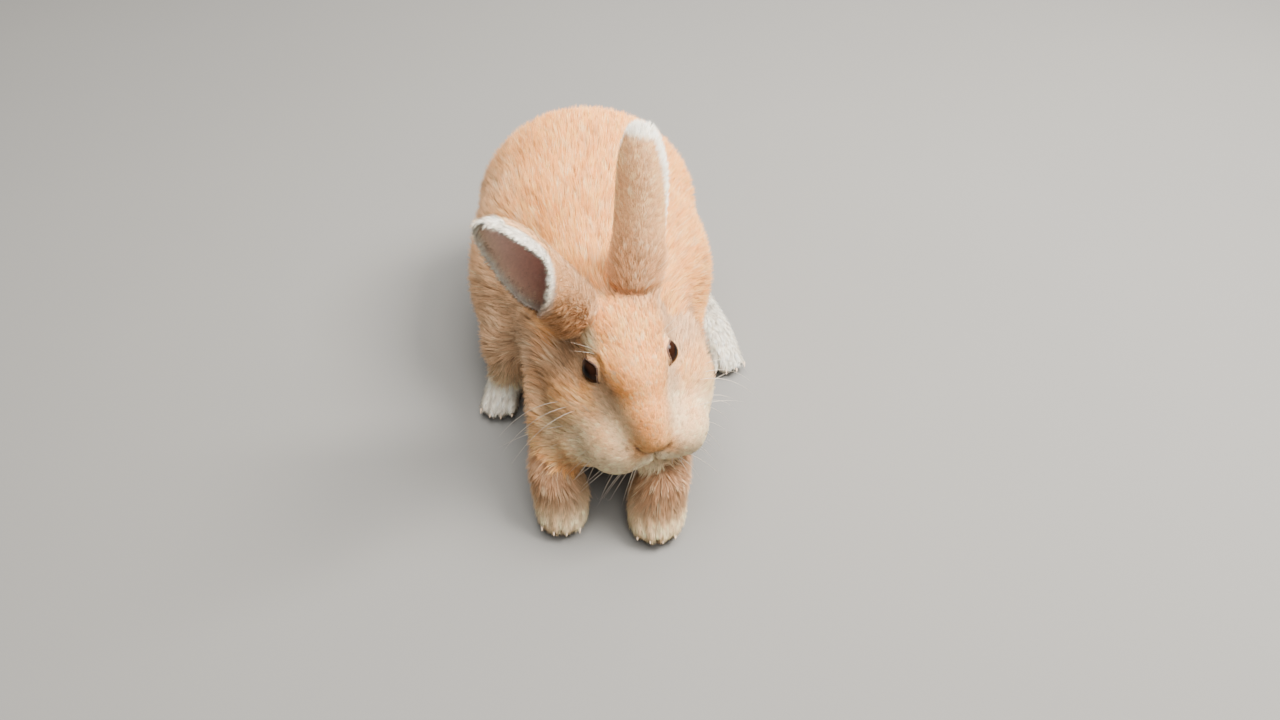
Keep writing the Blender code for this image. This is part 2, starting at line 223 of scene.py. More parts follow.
def remesh(item: Object, voxel: float, smoothing: int) -> None:
    """Fuses a mesh into one even closed shell and softens it.

    Args:
        item: The object whose mesh is fused.
        voxel: The length of the new faces' sides.
        smoothing: How many rounds of softening follow.
    """
    fuse = item.modifiers.new("fuse", "REMESH")
    fuse.mode = "VOXEL"
    fuse.voxel_size = voxel
    fuse.use_smooth_shade = True
    if smoothing:
        soften = item.modifiers.new("soften", "SMOOTH")
        soften.factor = 0.5
        soften.iterations = smoothing
    settle(item)


def set_colours(mesh: Mesh, colours: Array) -> None:
    """Stores one colour for each point of a mesh.

    Args:
        mesh: The mesh.
        colours: Linear colours, one row for each point.
    """
    layer = mesh.color_attributes.new(COLOUR_NAME, "FLOAT_COLOR", "POINT")
    rgba = np.ones((len(colours), 4), np.float32)
    rgba[:, :3] = np.clip(colours, 0.0, 1.0)
    layer.data.foreach_set("color", rgba.ravel())


def ripple(points: Array, size: float, seed: float = 0.0) -> Array:
    """A smooth uneven pattern between about -1 and 1.

    Args:
        points: Where it is read.
        size: The length of its larger waves.
        seed: Shifts the pattern.

    Returns:
        One value for each point.
    """
    x, y, z = (points / size * 2.0 * math.pi).T
    first = np.sin(x + 1.7 * np.sin(y * 0.7 + seed) + seed)
    first *= np.cos(y * 0.9 - z * 0.8 + 2.1 * seed)
    second = np.sin(y * 1.9 + x * 1.3 + 1.3 * np.sin(z * 1.7 + 3.0 * seed))
    second *= np.cos(z * 2.3 - x * 0.6 + seed)
    return 0.6 * first + 0.4 * second


def smooth_read(places: Array, values: Array, at: Array) -> Array:
    """Reads a row of values between its places, along a smooth line that never overshoots them.

    Args:
        places: Where the values are given, rising.
        values: The values.
        at: Where the line is read.

    Returns:
        The line's value at each place.
    """
    gaps = np.diff(places)
    rises = np.diff(values) / gaps
    product = rises[:-1] * rises[1:]
    both = np.where(product > 0, rises[:-1] + rises[1:], 1.0)
    joined = np.where(product > 0, 2 * product / both, 0.0)
    slopes = np.concatenate([rises[:1], joined, rises[-1:]])
    step = np.clip(np.searchsorted(places, at) - 1, 0, len(gaps) - 1)
    share = np.clip((at - places[step]) / gaps[step], 0, 1)
    near = values[step] * (2 * share**3 - 3 * share**2 + 1)
    near += gaps[step] * slopes[step] * (share**3 - 2 * share**2 + share)
    far = values[step + 1] * (3 * share**2 - 2 * share**3)
    return near + far + gaps[step] * slopes[step + 1] * (share**3 - share**2)


# ---- where things are


@dataclass
class HeadAxes:
    """How the head is set on the animal: its own forward, left and up directions, in millimetres."""

    pitch_down: float = math.radians(10.0)
    yaw_left: float = math.radians(17.0)
    roll: float = math.radians(3.0)
    origin: Array = field(init=False)
    turn: Array = field(init=False)

    def __post_init__(self) -> None:
        """Finds the point midway between the eyes, and the head's turn."""
        middles = [sum(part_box(f"eye_{side.word}"), Vector()) / 2 for side in Side]
        self.origin = np.array((middles[0] + middles[1]) / 2)
        pitch = Matrix.Rotation(self.pitch_down, 3, "Y")
        roll = Matrix.Rotation(self.roll, 3, "X")
        yaw = Matrix.Rotation(self.yaw_left - math.pi / 2, 3, "Z")
        self.turn = np.array(yaw @ pitch @ roll)

    def out(self, inside: Array) -> Array:
        """Carries (forward, left, up) millimetres of the head to the model."""
        return np.asarray(inside, float) @ self.turn.T * MM + self.origin

    def aim(self, inside: Array) -> Array:
        """Turns a direction of the head into one of the model."""
        return np.asarray(inside, float) @ self.turn.T

    def read(self, points: Array) -> Array:
        """Reads points of the model as (forward, left, up) millimetres of the head."""
        return (points - self.origin) @ self.turn / MM


@dataclass(frozen=True)
class EarShape:
    """One ear: a thin cupped blade, nearly a tube at its root and open like a spoon towards its tip.

    Attributes:
        side: Which ear it is.
        root_mm: Where it leaves the head, in the head.
        lean, opening: The ways that it stands and opens.
        curl_mm: How far its tip bends towards its opening.
        profile: Rows of its shape, each at a share of its length.
        length_mm, buried_mm: Its length, and how much of it is inside the head.
        tip_mm: Half the width that its tip keeps.
        wall_mm, edge_thinning: Its wall's thickness, and the share of it that its edges lose.
        spine_share: How far its curve's middle is before its axis, as a share of the curve's radius.
        round_from, round_over, round_power: Where its outline rounds off, over what share, and how late.
        along, across: How many rows of faces it has, and how many faces a row.
        crowding: How much closer the rows are at the tip.
        brown_share: How far up its back its root's brown reaches.
    """

    side: Side
    root_mm: tuple
    lean: tuple
    opening: tuple
    curl_mm: float
    profile: tuple
    length_mm: float = 133.0
    tip_mm: float = 4.5
    buried_mm: float = 14.0
    wall_mm: float = 1.5
    edge_thinning: float = 0.75
    spine_share: float = 0.4
    round_from: float = 0.52
    round_over: float = 0.485
    round_power: float = 2.4
    along: int = 96
    across: int = 76
    crowding: float = 1.15
    brown_share: float = 0.60

    def axes(self) -> tuple:
        """The ear's own directions.

        Returns:
            The directions along it, out of its opening, and across it.
        """
        axis = unit(np.array(self.lean, float))
        opening = np.array(self.opening, float)
        front = unit(opening - axis * (opening @ axis))
        return axis, front, np.cross(axis, front)

    def measures(self, share: Array) -> tuple:
        """The blade's shape at a share of its length.

        Args:
            share: How far along the ear, 0 at its root and 1 at its tip.

        Returns:
            Half its width along its curve in mm, half the angle that it wraps round, and its twist.
        """
        rows = np.array(self.profile)
        width, angle, twist = (smooth_read(rows[:, 0], row, share) for row in rows[:, 1:].T)
        past = np.maximum(0.0, (share - self.round_from) / self.round_over)
        rounding = np.sqrt(np.maximum(0.0, 1 - past**self.round_power))
        return np.maximum(self.tip_mm, width * rounding), np.radians(angle), np.radians(twist)

    def sheet(self, head: HeadAxes, share: Array, across: Array, lift_mm: float) -> Array:
        """Points of the blade.

        Args:
            head: Where the head is.
            share: How far along the ear, 0 at its root and 1 at its tip.
            across: How far across it, from -1 to 1.
            lift_mm: How far outside the middle of the wall, towards the ear's back.

        Returns:
            The points, in the model.
        """
        axis, front, side = self.axes()
        width, angle, twist = self.measures(share)
        radius = width / angle
        turn = angle * across + twist
        along = axis * (self.length_mm * share - self.buried_mm)[..., None]
        bend = front * (self.curl_mm * share * share)[..., None]
        reach = (radius + lift_mm)[..., None]
        offset = side * np.sin(turn)[..., None] * reach - front * np.cos(turn)[..., None] * reach
        shift = front * (self.spine_share * radius)[..., None]
        return head.out(self.root_mm) + (along + bend + offset + shift) * MM

    def read(self, head: HeadAxes, points: Array) -> tuple:
        """Where points lie on the ear.

        Args:
            head: Where the head is.
            points: Points of the model.

        Returns:
            The share of its length, how far across from -1 to 1, and the mm outside the wall's middle.
        """
        axis, front, side = self.axes()
        local = (points - head.out(self.root_mm)) / MM
        share = (local @ axis + self.buried_mm) / self.length_mm
        inside = np.clip(share, 0.0, 1.0)
        width, angle, twist = self.measures(inside)
        radius = width / angle
        ahead = self.curl_mm * inside**2 + self.spine_share * radius
        spoke = local - axis * (local @ axis)[:, None] - front * ahead[:, None]
        turn = np.arctan2(spoke @ side, -(spoke @ front)) - twist
        turn = (turn + math.pi) % (2 * math.pi) - math.pi
        return share, turn / angle, np.hypot(spoke @ side, spoke @ front) - radius

    def solid(self, head: HeadAxes) -> tuple:
        """The blade as a closed solid.

        Args:
            head: Where the head is.

        Returns:
            Its points and its triangles.
        """
        # Rows crowd towards the tip, where the outline turns.
        share = 1 - (1 - np.linspace(0, 1, self.along + 1)) ** self.crowding
        across = np.linspace(-1, 1, self.across + 1)
        rows, columns = np.meshgrid(share, across, indexing="ij")
        thin = 1 - self.edge_thinning * np.maximum(np.abs(columns) ** 6, smoothstep(0.93, 1.0, rows))
        outer = self.sheet(head, rows, columns, 1.0)
        middle = self.sheet(head, rows, columns, 0.0)
        wall = (outer - middle) * (self.wall_mm / 2 * thin)[..., None]
        points = np.concatenate([(middle + wall).reshape(-1, 3), (middle - wall).reshape(-1, 3)])
        count = self.across + 1
        total = (self.along + 1) * count
        faces = []
        for i in range(self.along):
            for j in range(self.across):
                a, b = i * count + j, i * count + j + 1
                c, d = b + count, a + count
                faces += [(a, b, c), (a, c, d)]
                faces += [(total + a, total + c, total + b), (total + a, total + d, total + c)]
        ring = list(range(count))
        ring += [i * count + self.across for i in range(1, self.along + 1)]
        ring += [self.along * count + j for j in range(self.across - 1, -1, -1)]
        ring += [i * count for i in range(self.along - 1, 0, -1)]
        for near, far in zip(ring, ring[1:] + ring[:1]):
            faces += [(near, total + near, total + far), (near, total + far, far)]
        return points, np.array(faces)


# Each row of a profile: share of the length, half width in mm, half the wrap and the twist in degrees.
LEFT_PROFILE = (
    (0.00, 38.0, 165.0, 0.0),
    (0.15, 42.0, 162.0, 0.0),
    (0.30, 40.0, 145.0, 0.0),
    (0.45, 33.0, 120.0, 0.0),
    (0.70, 28.0, 97.0, 0.0),
    (1.00, 27.5, 76.0, 0.0),
)
RIGHT_PROFILE = (
    (0.00, 38.0, 168.0, 72.0),
    (0.15, 44.0, 168.0, 71.0),
    (0.30, 47.0, 163.0, 65.0),
    (0.42, 48.0, 148.0, 52.0),
    (0.55, 40.0, 120.0, 35.0),
    (0.70, 31.0, 88.0, 22.0),
    (0.85, 30.0, 80.0, 28.0),
    (1.00, 27.0, 70.0, 30.0),
)
EARS = (
    EarShape(
        Side.LEFT, root_mm=(-40, 12.5, 13), lean=(0.078, 0.265, 0.961), opening=(0.40, 0.92, 0.0),
        curl_mm=-6.0, profile=LEFT_PROFILE,
    ),
    EarShape(
        Side.RIGHT, root_mm=(-40, -24, 15), lean=(-0.415, -0.278, 0.866), opening=(0.05, -0.98, 0.0),
        curl_mm=10.0, profile=RIGHT_PROFILE, brown_share=0.80,
    ),
)


@dataclass(frozen=True)
class Eyelid:
    """The almond opening between the lids of one eye, over a round eyeball.

    Attributes:
        side: Which eye it is.
        radius_mm: The eyeball's radius.
        half_length_mm, half_height_mm: Half the opening's length and height.
        out: Where the eye looks, for the left eye, in the head.
        along: Roughly the way of the opening's length.
        behind_mm: The gap given to points at the eye's back.
        fold_mm: How far the lids' edges stand off the eyeball.
        plump_mm, dip_mm: How far they swell past their edges, and then fall.
        sunk_mm: How far the skin within the opening is hidden.
        span_mm: How far from the opening the lids reach.
    """

    side: Side
    radius_mm: float = 9.6
    half_length_mm: float = 9.3
    half_height_mm: float = 8.8
    out: tuple = (0.30, 0.94, 0.16)
    along: tuple = (0.93, 0.0, -0.42)
    behind_mm: float = 20.0
    fold_mm: float = 0.35
    plump_mm: float = 0.5
    dip_mm: float = 0.9
    sunk_mm: float = 1.8
    span_mm: float = 7.0

    def axes(self) -> tuple:
        """The opening's directions in the head.

        Returns:
            The directions out of it, along its length, and up across it.
        """
        outward = unit(np.array([self.out[0], self.out[1] * self.side.value, self.out[2]]))
        along = np.array(self.along)
        along = unit(along - outward * (along @ outward))
        upward = np.cross(outward, along)
        return outward, along, upward * (1 if upward[2] > 0 else -1)

    def middle_mm(self, head: HeadAxes) -> Array:
        """The eyeball's middle, in the head."""
        return head.read(np.array(sum(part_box(f"eye_{self.side.word}"), Vector()) / 2)[None])[0]

    def gap_mm(self, local: Array) -> tuple:
        """How far outside the opening's edge points lie.

        Args:
            local: Points from the eyeball's middle, in the head's millimetres.

        Returns:
            The distance past the edge, negative within it, and how far each point is from the eye's middle.
        """
        outward, along, upward = self.axes()
        reach = np.linalg.norm(local, axis=1)
        ways = local / np.maximum(reach, 1e-9)[:, None]
        x, y, ahead = ways @ along * self.radius_mm, ways @ upward * self.radius_mm, ways @ outward
        share = x / self.half_length_mm
        edge = self.half_height_mm * (1 - share**2)
        slope = 2 * self.half_height_mm * share / self.half_length_mm
        gap = (np.abs(y) - edge) / np.sqrt(1 + slope**2)
        return np.where(ahead > 0.1, gap, self.behind_mm), reach

    def drape(self, local: Array) -> tuple:
        """Draws the skin over the eyeball as lids, and out of sight behind it within the opening.

        Args:
            local: Points from the eyeball's middle, in the head's millimetres.

        Returns:
            Which of the points the lids shape, and how far from the eye's middle each is to be.
        """
        gap, reach = self.gap_mm(local)
        fold = self.radius_mm + self.fold_mm
        fold = fold + self.plump_mm * smoothstep(0.0, 1.0, gap) - self.dip_mm * smoothstep(1.0, 3.0, gap)
        away = smoothstep(1.6, 6.5, gap)
        raised = fold * (1 - away) + np.maximum(reach, fold * (1 - away)) * away
        target = np.where(gap < 0.05, self.radius_mm - self.sunk_mm, raised)
        return (gap < self.span_mm) & (reach < self.radius_mm + self.span_mm), target

    def rim(self, head: HeadAxes, count: int, stand_mm: float) -> Array:
        """Points round the edge of the opening.

        Args:
            head: Where the head is.
            count: How many points.
            stand_mm: How far they stand off the eyeball.

        Returns:
            The points, in the model.
        """
        outward, along, upward = self.axes()
        turn = np.linspace(0, 2 * math.pi, count, endpoint=False)
        x = self.half_length_mm * np.cos(turn)
        y = self.half_height_mm * np.sin(turn) * np.abs(np.sin(turn)) ** 0.75
        depth = np.sqrt(np.maximum(self.radius_mm**2 - x * x - y * y, 0.5))
        flat = x[:, None] * along + y[:, None] * upward + depth[:, None] * outward
        return head.out(self.middle_mm(head) + unit(flat) * (self.radius_mm + stand_mm))


LIDS = tuple(Eyelid(side) for side in Side)


@dataclass(frozen=True)
class Crease:
    """A groove in the skin along a line of the head, seen from the way that it faces."""

    line_mm: tuple
    width_mm: float
    depth_mm: float
    # How far its line is painted dark, as shade in the groove.
    shade: float = 0.0
    facing: tuple = (1.0, 0.0, -0.25)
    reach_mm: float = 9.0

    def distance_mm(self, local: Array) -> Array:
        """How far points are from the line, seen along the way that it faces.

        Args:
            local: Points of the head.

        Returns:
            The distance of each.
        """
        facing = unit(np.array(self.facing, float))
        nearest = np.full(len(local), 1e9)
        for start, end in zip(self.line_mm, self.line_mm[1:]):
            a, b = np.array(start, float), np.array(end, float)
            flat, spoke = (b - a) - facing * ((b - a) @ facing), local - a
            flat_spoke = spoke - np.outer(spoke @ facing, facing)
            share = np.clip(flat_spoke @ flat / (flat @ flat), 0, 1)
            away = np.linalg.norm(flat_spoke - share[:, None] * flat, axis=1)
            beyond = np.abs((spoke - share[:, None] * (b - a)) @ facing) > self.reach_mm
            nearest = np.minimum(nearest, np.where(beyond, 1e9, away))
        return nearest

    def share(self, local: Array) -> Array:
        """How much of the groove's depth and shade each point of the head takes."""
        return bell(self.distance_mm(local), self.width_mm)


def mirrored(line: tuple) -> tuple:
    """The same line on the other side of the head."""
    return tuple((f, -l, u) for f, l, u in line)


@dataclass(frozen=True)
class Swell:
    """A soft swelling of the face on both sides: its middle and radius in the head, and its height."""

    middle_mm: tuple
    radius_mm: float
    height_mm: float

    def height(self, local: Array) -> Array:
        """How far it lifts points of the head.

        Args:
            local: The points.

        Returns:
            The rise of each, in mm.
        """
        most = np.zeros(len(local))
        for side in Side:
            middle = np.array(self.middle_mm, float) * (1, side.value, 1)
            most = np.maximum(most, bell(np.linalg.norm(local - middle, axis=1), self.radius_mm))
        return most * self.height_mm


NOSTRIL_LEFT = ((57.0, -1.0, -28.3), (57.0, 3.4, -27.2), (56.2, 6.6, -25.4), (55.0, 8.6, -23.4))
NOSTRIL_RIGHT = ((57.0, 1.0, -28.3), (57.0, -3.8, -27.0), (56.0, -8.0, -24.4), (54.5, -11.0, -21.4))
MOUTH = ((54.0, 0.5, -38.5), (50.0, 6.0, -43.0), (43.0, 12.0, -47.0), (34.0, 19.0, -48.0))
PHILTRUM = ((57.0, 0.0, -26.5), (56.5, 0.0, -32.0), (54.0, 0.0, -39.0))
CREASES = (
    Crease(PHILTRUM, 0.95, 2.0, 0.6),
    Crease(NOSTRIL_LEFT, 1.6, 2.4, 1.0, (1.0, 0.0, -0.6)),
    Crease(NOSTRIL_RIGHT, 1.6, 2.4, 1.0, (1.0, 0.0, -0.6)),
    Crease(MOUTH, 1.6, 2.0, 0.3, (0.7, 0.0, -0.7)),
    Crease(mirrored(MOUTH), 1.6, 2.0, 0.3, (0.7, 0.0, -0.7)),
)
SWELLS = (
    Swell((56.0, 4.5, -17.0), 8.0, 1.2),
    Swell((48.0, 15.0, -31.0), 10.0, 1.8),
    Swell((53.0, 3.5, -35.0), 7.5, 4.6),
    Swell((40.0, 3.0, -52.0), 12.0, 2.6),
    Swell((4.0, 22.0, 12.0), 8.0, 1.0),
)


# ---- the coat


@dataclass(frozen=True)
class Fur:
    """The coat of one part of the animal: sizes in mm, lift in degrees, density in tufts to a square mm."""

    depth: float
    length: float
    lift: float
    width: float
    density: float
    clump: float = 0.25


FUR = {
    "trunk": Fur(6.0, 16.0, 19.0, 0.85, 1.30, 0.50),
    "neck": Fur(7.0, 18.0, 24.0, 0.90, 1.35, 0.60),
    "haunch": Fur(6.0, 15.5, 20.0, 0.85, 1.30, 0.50),
    "tail": Fur(8.5, 17.0, 36.0, 1.00, 1.80, 0.50),
    "head": Fur(2.4, 6.5, 15.0, 0.50, 1.90, 0.45),
    "jaw": Fur(2.6, 7.0, 20.0, 0.50, 1.90, 0.45),
    "nose": Fur(0.8, 1.9, 14.0, 0.32, 3.20, 0.15),
    "foreleg": Fur(3.8, 10.0, 19.0, 0.65, 1.60, 0.50),
    "forepaw": Fur(1.8, 6.0, 20.0, 0.50, 2.20, 0.45),
    "hindfoot": Fur(2.0, 6.5, 20.0, 0.55, 1.90, 0.45),
    "ear": Fur(1.0, 4.2, 14.0, 0.40, 1.75, 0.30),
}


def family(node: str) -> str:
    """The kind of part that a CAD node is."""
    return node.split("_")[0]


@dataclass
class Surface:
    """A skin as arrays: its points, triangles and edges."""

    points: Array
    faces: Array
    areas: Array = field(init=False)
    normals: Array = field(init=False)
    edges: Array = field(init=False)
    reach: Array = field(init=False)

    def __post_init__(self) -> None:
        """Finds the triangles' areas, the points' normals, and the edges that meet at each point."""
        corners = self.points[self.faces]
        across = np.cross(corners[:, 1] - corners[:, 0], corners[:, 2] - corners[:, 0])
        self.areas = np.linalg.norm(across, axis=1) / 2
        total = np.zeros_like(self.points)
        for corner in range(3):
            for axis in range(3):
                total[:, axis] += np.bincount(self.faces[:, corner], across[:, axis], len(self.points))
        self.normals = unit(total)
        pairs = np.concatenate([self.faces[:, pair] for pair in ([0, 1], [1, 2], [2, 0])])
        self.edges = np.unique(np.sort(pairs, axis=1), axis=0)
        ends = self.edges.T.ravel()
        self.reach = np.maximum(np.bincount(ends, minlength=len(self.points)), 1)

    def soften(self, values: Array, rounds: int) -> Array:
        """Evens values out over the surface.

        Args:
            values: One value or vector for each point.
            rounds: How often each point takes its neighbours' average.

        Returns:
            The softened values.
        """
        flat = values.reshape(len(self.points), -1).astype(float)
        first, second = self.edges.T
        for _ in range(rounds):
            around = np.empty_like(flat)
            for column in range(flat.shape[1]):
                total = np.bincount(first, flat[second, column], len(flat))
                total += np.bincount(second, flat[first, column], len(flat))
                around[:, column] = total / self.reach
            flat = 0.4 * flat + 0.6 * around
        return flat.reshape(values.shape)

    def tree(self) -> BVHTree:
        """A tree that finds the nearest point of the surface."""
        return BVHTree.FromPolygons(self.points.tolist(), self.faces.tolist())


class Anatomy:
    """Which part of the animal each point of the skin belongs to."""

    def __init__(self) -> None:
        """Gathers the nodes of flesh."""
        skip = ("eye", *CLAWED_FEET)
        self.nodes = sorted(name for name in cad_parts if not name.startswith(skip))
        self.families = [family(name) for name in self.nodes]
        points, faces, self.owner = [], [], []
        for number, name in enumerate(self.nodes):
            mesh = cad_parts[name].data
            first = sum(len(block) for block in points)
            points.append(read_points(mesh))
            mesh.calc_loop_triangles()
            faces += [[first + v for v in triangle.vertices] for triangle in mesh.loop_triangles]
            self.owner += [number] * len(mesh.loop_triangles)
        points = np.concatenate(points).tolist()
        self.tree = BVHTree.FromPolygons(points, faces)
        skull = ("head", "jaw")
        of_head = [face for face, owner in zip(faces, self.owner) if self.families[owner] in skull]
        self.head_tree = BVHTree.FromPolygons(points, of_head)

    def near_head(self, points: Array) -> Array:
        """How far each point is from the head."""
        find = self.head_tree.find_nearest
        return np.array([find(Vector(point))[3] for point in points.tolist()])

    def label(self, points: Array) -> Array:
        """The number of the node that is nearest to each point."""
        find = self.tree.find_nearest
        return np.array([self.owner[find(Vector(point))[2]] for point in points.tolist()])

    def height(self, points: Array) -> Array:
        """How far outside the solids' surface each point lies, negative within it.

        Args:
            points: Points near the surface.

        Returns:
            The height of each, up to 6 mm either way.
        """
        found = []
        for point in points.tolist():
            spot, normal, _, _ = self.tree.find_nearest(Vector(point))
            found.append((Vector(point) - spot).dot(normal))
        return np.clip(np.array(found), -0.006, 0.006)

    def among(self, labels: Array, *families: str) -> Array:
        """Whether each label is of one of these kinds of part."""
        wanted = [bool({kind, node} & set(families)) for kind, node in zip(self.families, self.nodes)]
        return np.array(wanted)[labels]


@dataclass
class Skin:
    """One closed skin in place of the nodes of flesh, inside them by the depth of the coat."""

    head: HeadAxes
    anatomy: Anatomy
    first_voxel: float = 0.0022
    last_voxel: float = 0.0021
    swell: float = 0.0005
    face_depth_mm: float = 4.2
    muzzle_loss_mm: float = 3.3
    crown_depth_mm: float = 2.6
    overhang_mm: float = 9.0
    toe_gap_mm: float = 1.5
    toe_depth_mm: float = 2.6

    def build(self) -> Object:
        """Builds the skin with its face, lids and ears.

        Returns:
            The skin's object, without its colours.
        """
        skin = self.fused_flesh()
        self.draw_in(skin)
        remesh(skin, self.last_voxel, 2)
        self.part_toes(skin)
        self.refine(skin)
        self.shape_face(skin)
        self.join_ears(skin)
        LOG.info("skin: %d points", len(skin.data.vertices))
        return skin

    def fused_flesh(self) -> Object:
        """Fuses copies of the flesh nodes, apart from the ears, into one shell.

        Returns:
            The shell's object.
        """
        whole = bmesh.new()
        for node in self.anatomy.nodes:
            if family(node) == "ear":
                continue
            part = bmesh.new()
            part.from_mesh(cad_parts[node].data)
            bmesh.ops.remove_doubles(part, verts=part.verts, dist=1e-6)
            bmesh.ops.recalc_face_normals(part, faces=part.faces)
            part.normal_update()
            for vert in part.verts:
                vert.co += vert.normal * self.swell
            mesh = bpy.data.meshes.new("part")
            part.to_mesh(mesh)
            part.free()
            whole.from_mesh(mesh)
            bpy.data.meshes.remove(mesh)
        # The eyeballs fill their sockets, so that the lids can be drawn over them.
        for side in Side:
            whole.from_mesh(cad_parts[f"eye_{side.word}"].data)
        mesh = bpy.data.meshes.new("skin")
        whole.to_mesh(mesh)
        whole.free()
        skin = add_object("skin", mesh)
        remesh(skin, self.first_voxel, 14)
        return skin

    def draw_in(self, skin: Object) -> None:
        """Brings the shell back to the solids' outline, then in from it by the depth of the coat.

        Args:
            skin: The shell.
        """
        surface = as_surface(skin)
        missing = surface.soften(self.anatomy.height(surface.points), 8)
        write_points(skin.data, surface.points - surface.normals * missing[:, None])
        surface = as_surface(skin)
        labels = self.anatomy.label(surface.points)
        depth = np.array([FUR[name].depth for name in self.anatomy.families])[labels]
        local = self.head.read(surface.points)
        face = self.anatomy.among(labels, *HEAD_PARTS)
        forward = smoothstep(-10, 45, local[:, 0])
        depth = np.where(face, self.face_depth_mm - self.muzzle_loss_mm * forward, depth)
        crown = face & (local[:, 2] > -4)
        depth = np.where(crown, np.minimum(depth, self.crown_depth_mm), depth)
        depth = surface.soften(depth, 24)
        # The cheeks and the chin overhang the breast and the legs.
        below = self.anatomy.among(labels, "neck", "foreleg", "trunk")
        near = self.anatomy.near_head(surface.points) / MM
        hang = self.overhang_mm * smoothstep(22.0, 3.0, near) * below
        hang = hang * smoothstep(0.105, 0.085, surface.points[:, 2])
        depth += surface.soften(hang, 3)
        write_points(skin.data, surface.points - surface.normals * depth[:, None] * MM)

    def part_toes(self, skin: Object) -> None:
        """Presses the furrows between the toes of all four feet.

        Args:
            skin: The skin.
        """
        surface = as_surface(skin)
        points = surface.points.copy()
        low = surface.points[:, 2] < 0.034
        for foot in CLAWED_FEET:
            for side in Side:
                boxes = [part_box(node) for node in side.claws(foot)]
                tips = np.array([np.array(lowest + highest) / 2 for lowest, highest in boxes])
                across = unit(tips[-1, :2] - tips[0, :2])
                ahead = np.array([across[1], -across[0]])
                ahead *= 1 if ahead[1] < 0 else -1
                for first, second in zip(tips, tips[1:]):
                    spoke = surface.points[:, :2] - (first[:2] + second[:2]) / 2
                    aside, back = spoke @ across / MM, -(spoke @ ahead) / MM
                    share = bell(aside, self.toe_gap_mm) * smoothstep(19.0, 6.0, back) * (back > -9)
                    points -= surface.normals * (self.toe_depth_mm * MM * share * low)[:, None]
        write_points(skin.data, points)

    def refine(self, skin: Object) -> None:
        """Gives the face, and most of all the eyes, the nose and the mouth, smaller faces.

        Args:
            skin: The skin.
        """
        for by_eyes, by_creases in ((16, 8), (11.5, 3.0)):
            shape = bmesh.new()
            shape.from_mesh(skin.data)
            points = np.array([edge.verts[0].co + edge.verts[1].co for edge in shape.edges]) / 2
            local = self.head.read(points)
            near = np.zeros(len(points), bool)
            for lid in LIDS:
                near |= np.linalg.norm(local - lid.middle_mm(self.head), axis=1) < by_eyes
            for crease in CREASES:
                near |= crease.distance_mm(local) < by_creases
            edges = [edge for edge, chosen in zip(shape.edges, near) if chosen]
            bmesh.ops.subdivide_edges(shape, edges=edges, cuts=1, use_grid_fill=True)
            bmesh.ops.triangulate(shape, faces=[face for face in shape.faces if len(face.verts) > 4])
            shape.to_mesh(skin.data)
            shape.free()

    def shape_face(self, skin: Object) -> None:
        """Models the lids, the nostrils, the cleft lip and the mouth.

        Args:
            skin: The skin.
        """
        surface = as_surface(skin)
        local = self.head.read(surface.points)
        normals = surface.normals @ self.head.turn
        for swell in SWELLS:
            local = local + normals * swell.height(local)[:, None]
        for crease in CREASES:
            local -= normals * (crease.depth_mm * crease.share(local))[:, None]
        for lid in LIDS:
            middle = lid.middle_mm(self.head)
            spoke = local - middle
            close, target = lid.drape(spoke)
            local = np.where(close[:, None], middle + unit(spoke) * target[:, None], local)
        write_points(skin.data, self.head.out(local))

    def join_ears(self, skin: Object) -> None:
        """Joins the two ears to the skin as one solid.

        Args:
            skin: The skin.
        """
        for ear in EARS:
            blade = add_object(f"{ear.side.word}_blade", make_mesh("blade", *ear.solid(self.head)))
            face_outwards(blade.data)
            join = skin.modifiers.new("join", "BOOLEAN")
            join.operation = "UNION"
            join.object = blade
            settle(skin)
            bpy.data.objects.remove(blade)


def as_surface(item: Object) -> Surface:
    """Reads an object's mesh as triangles.

    Args:
        item: The object.

    Returns:
        Its surface.
    """
    mesh = item.data
    mesh.calc_loop_triangles()
    faces = np.empty(len(mesh.loop_triangles) * 3, np.int32)
    mesh.loop_triangles.foreach_get("vertices", faces)
    return Surface(read_points(mesh), faces.reshape(-1, 3))


# ---- the markings


@dataclass(frozen=True)
class Mark:
    """A soft-edged patch of colour: an ellipsoid of the head or the model, in millimetres."""

    middle: tuple
    radii: tuple
    colour: tuple
    softness: float = 0.45
    strength: float = 1.0
    on_head: bool = False
    paired: bool = False

    def share(self, points: Array) -> Array:
        """How much of the patch's colour points take.

        Args:
            points: The points, in mm of the head or the model.

        Returns:
            A share for each, from 0 to 1.
        """
        middles = [self.middle]
        if self.paired:
            middles.append((self.middle[0], -self.middle[1], self.middle[2]))
        most = np.zeros(len(points))
        for middle in middles:
            far = np.linalg.norm((points - np.array(middle)) / np.array(self.radii), axis=1)
            most = np.maximum(most, smoothstep(1 + self.softness, 1 - self.softness, far))
        return most * self.strength


@dataclass(frozen=True)
class Tints:
    """The coat's colours, linear; umber and dark are painted shade, not colours of the coat."""

    fawn: tuple = (1.0, 0.352, 0.080)
    light_fawn: tuple = (1.0, 0.465, 0.158)
    cream: tuple = (1.0, 0.80, 0.50)
    white: tuple = (1.0, 0.91, 0.76)
    ear_tan: tuple = (1.0, 0.53, 0.25)
    russet: tuple = (0.54, 0.25, 0.105)
    # A greyer fawn; several marks use it as painted shade.
    sand: tuple = (0.68, 0.43, 0.25)
    # Painted shade only: the darkening of the legs, breast and neck under the head.
    umber: tuple = (0.40, 0.215, 0.115)
    pink: tuple = (1.0, 0.29, 0.23)
    pale_pink: tuple = (1.0, 0.66, 0.55)
    dark: tuple = (0.12, 0.06, 0.045)


TINTS = Tints()

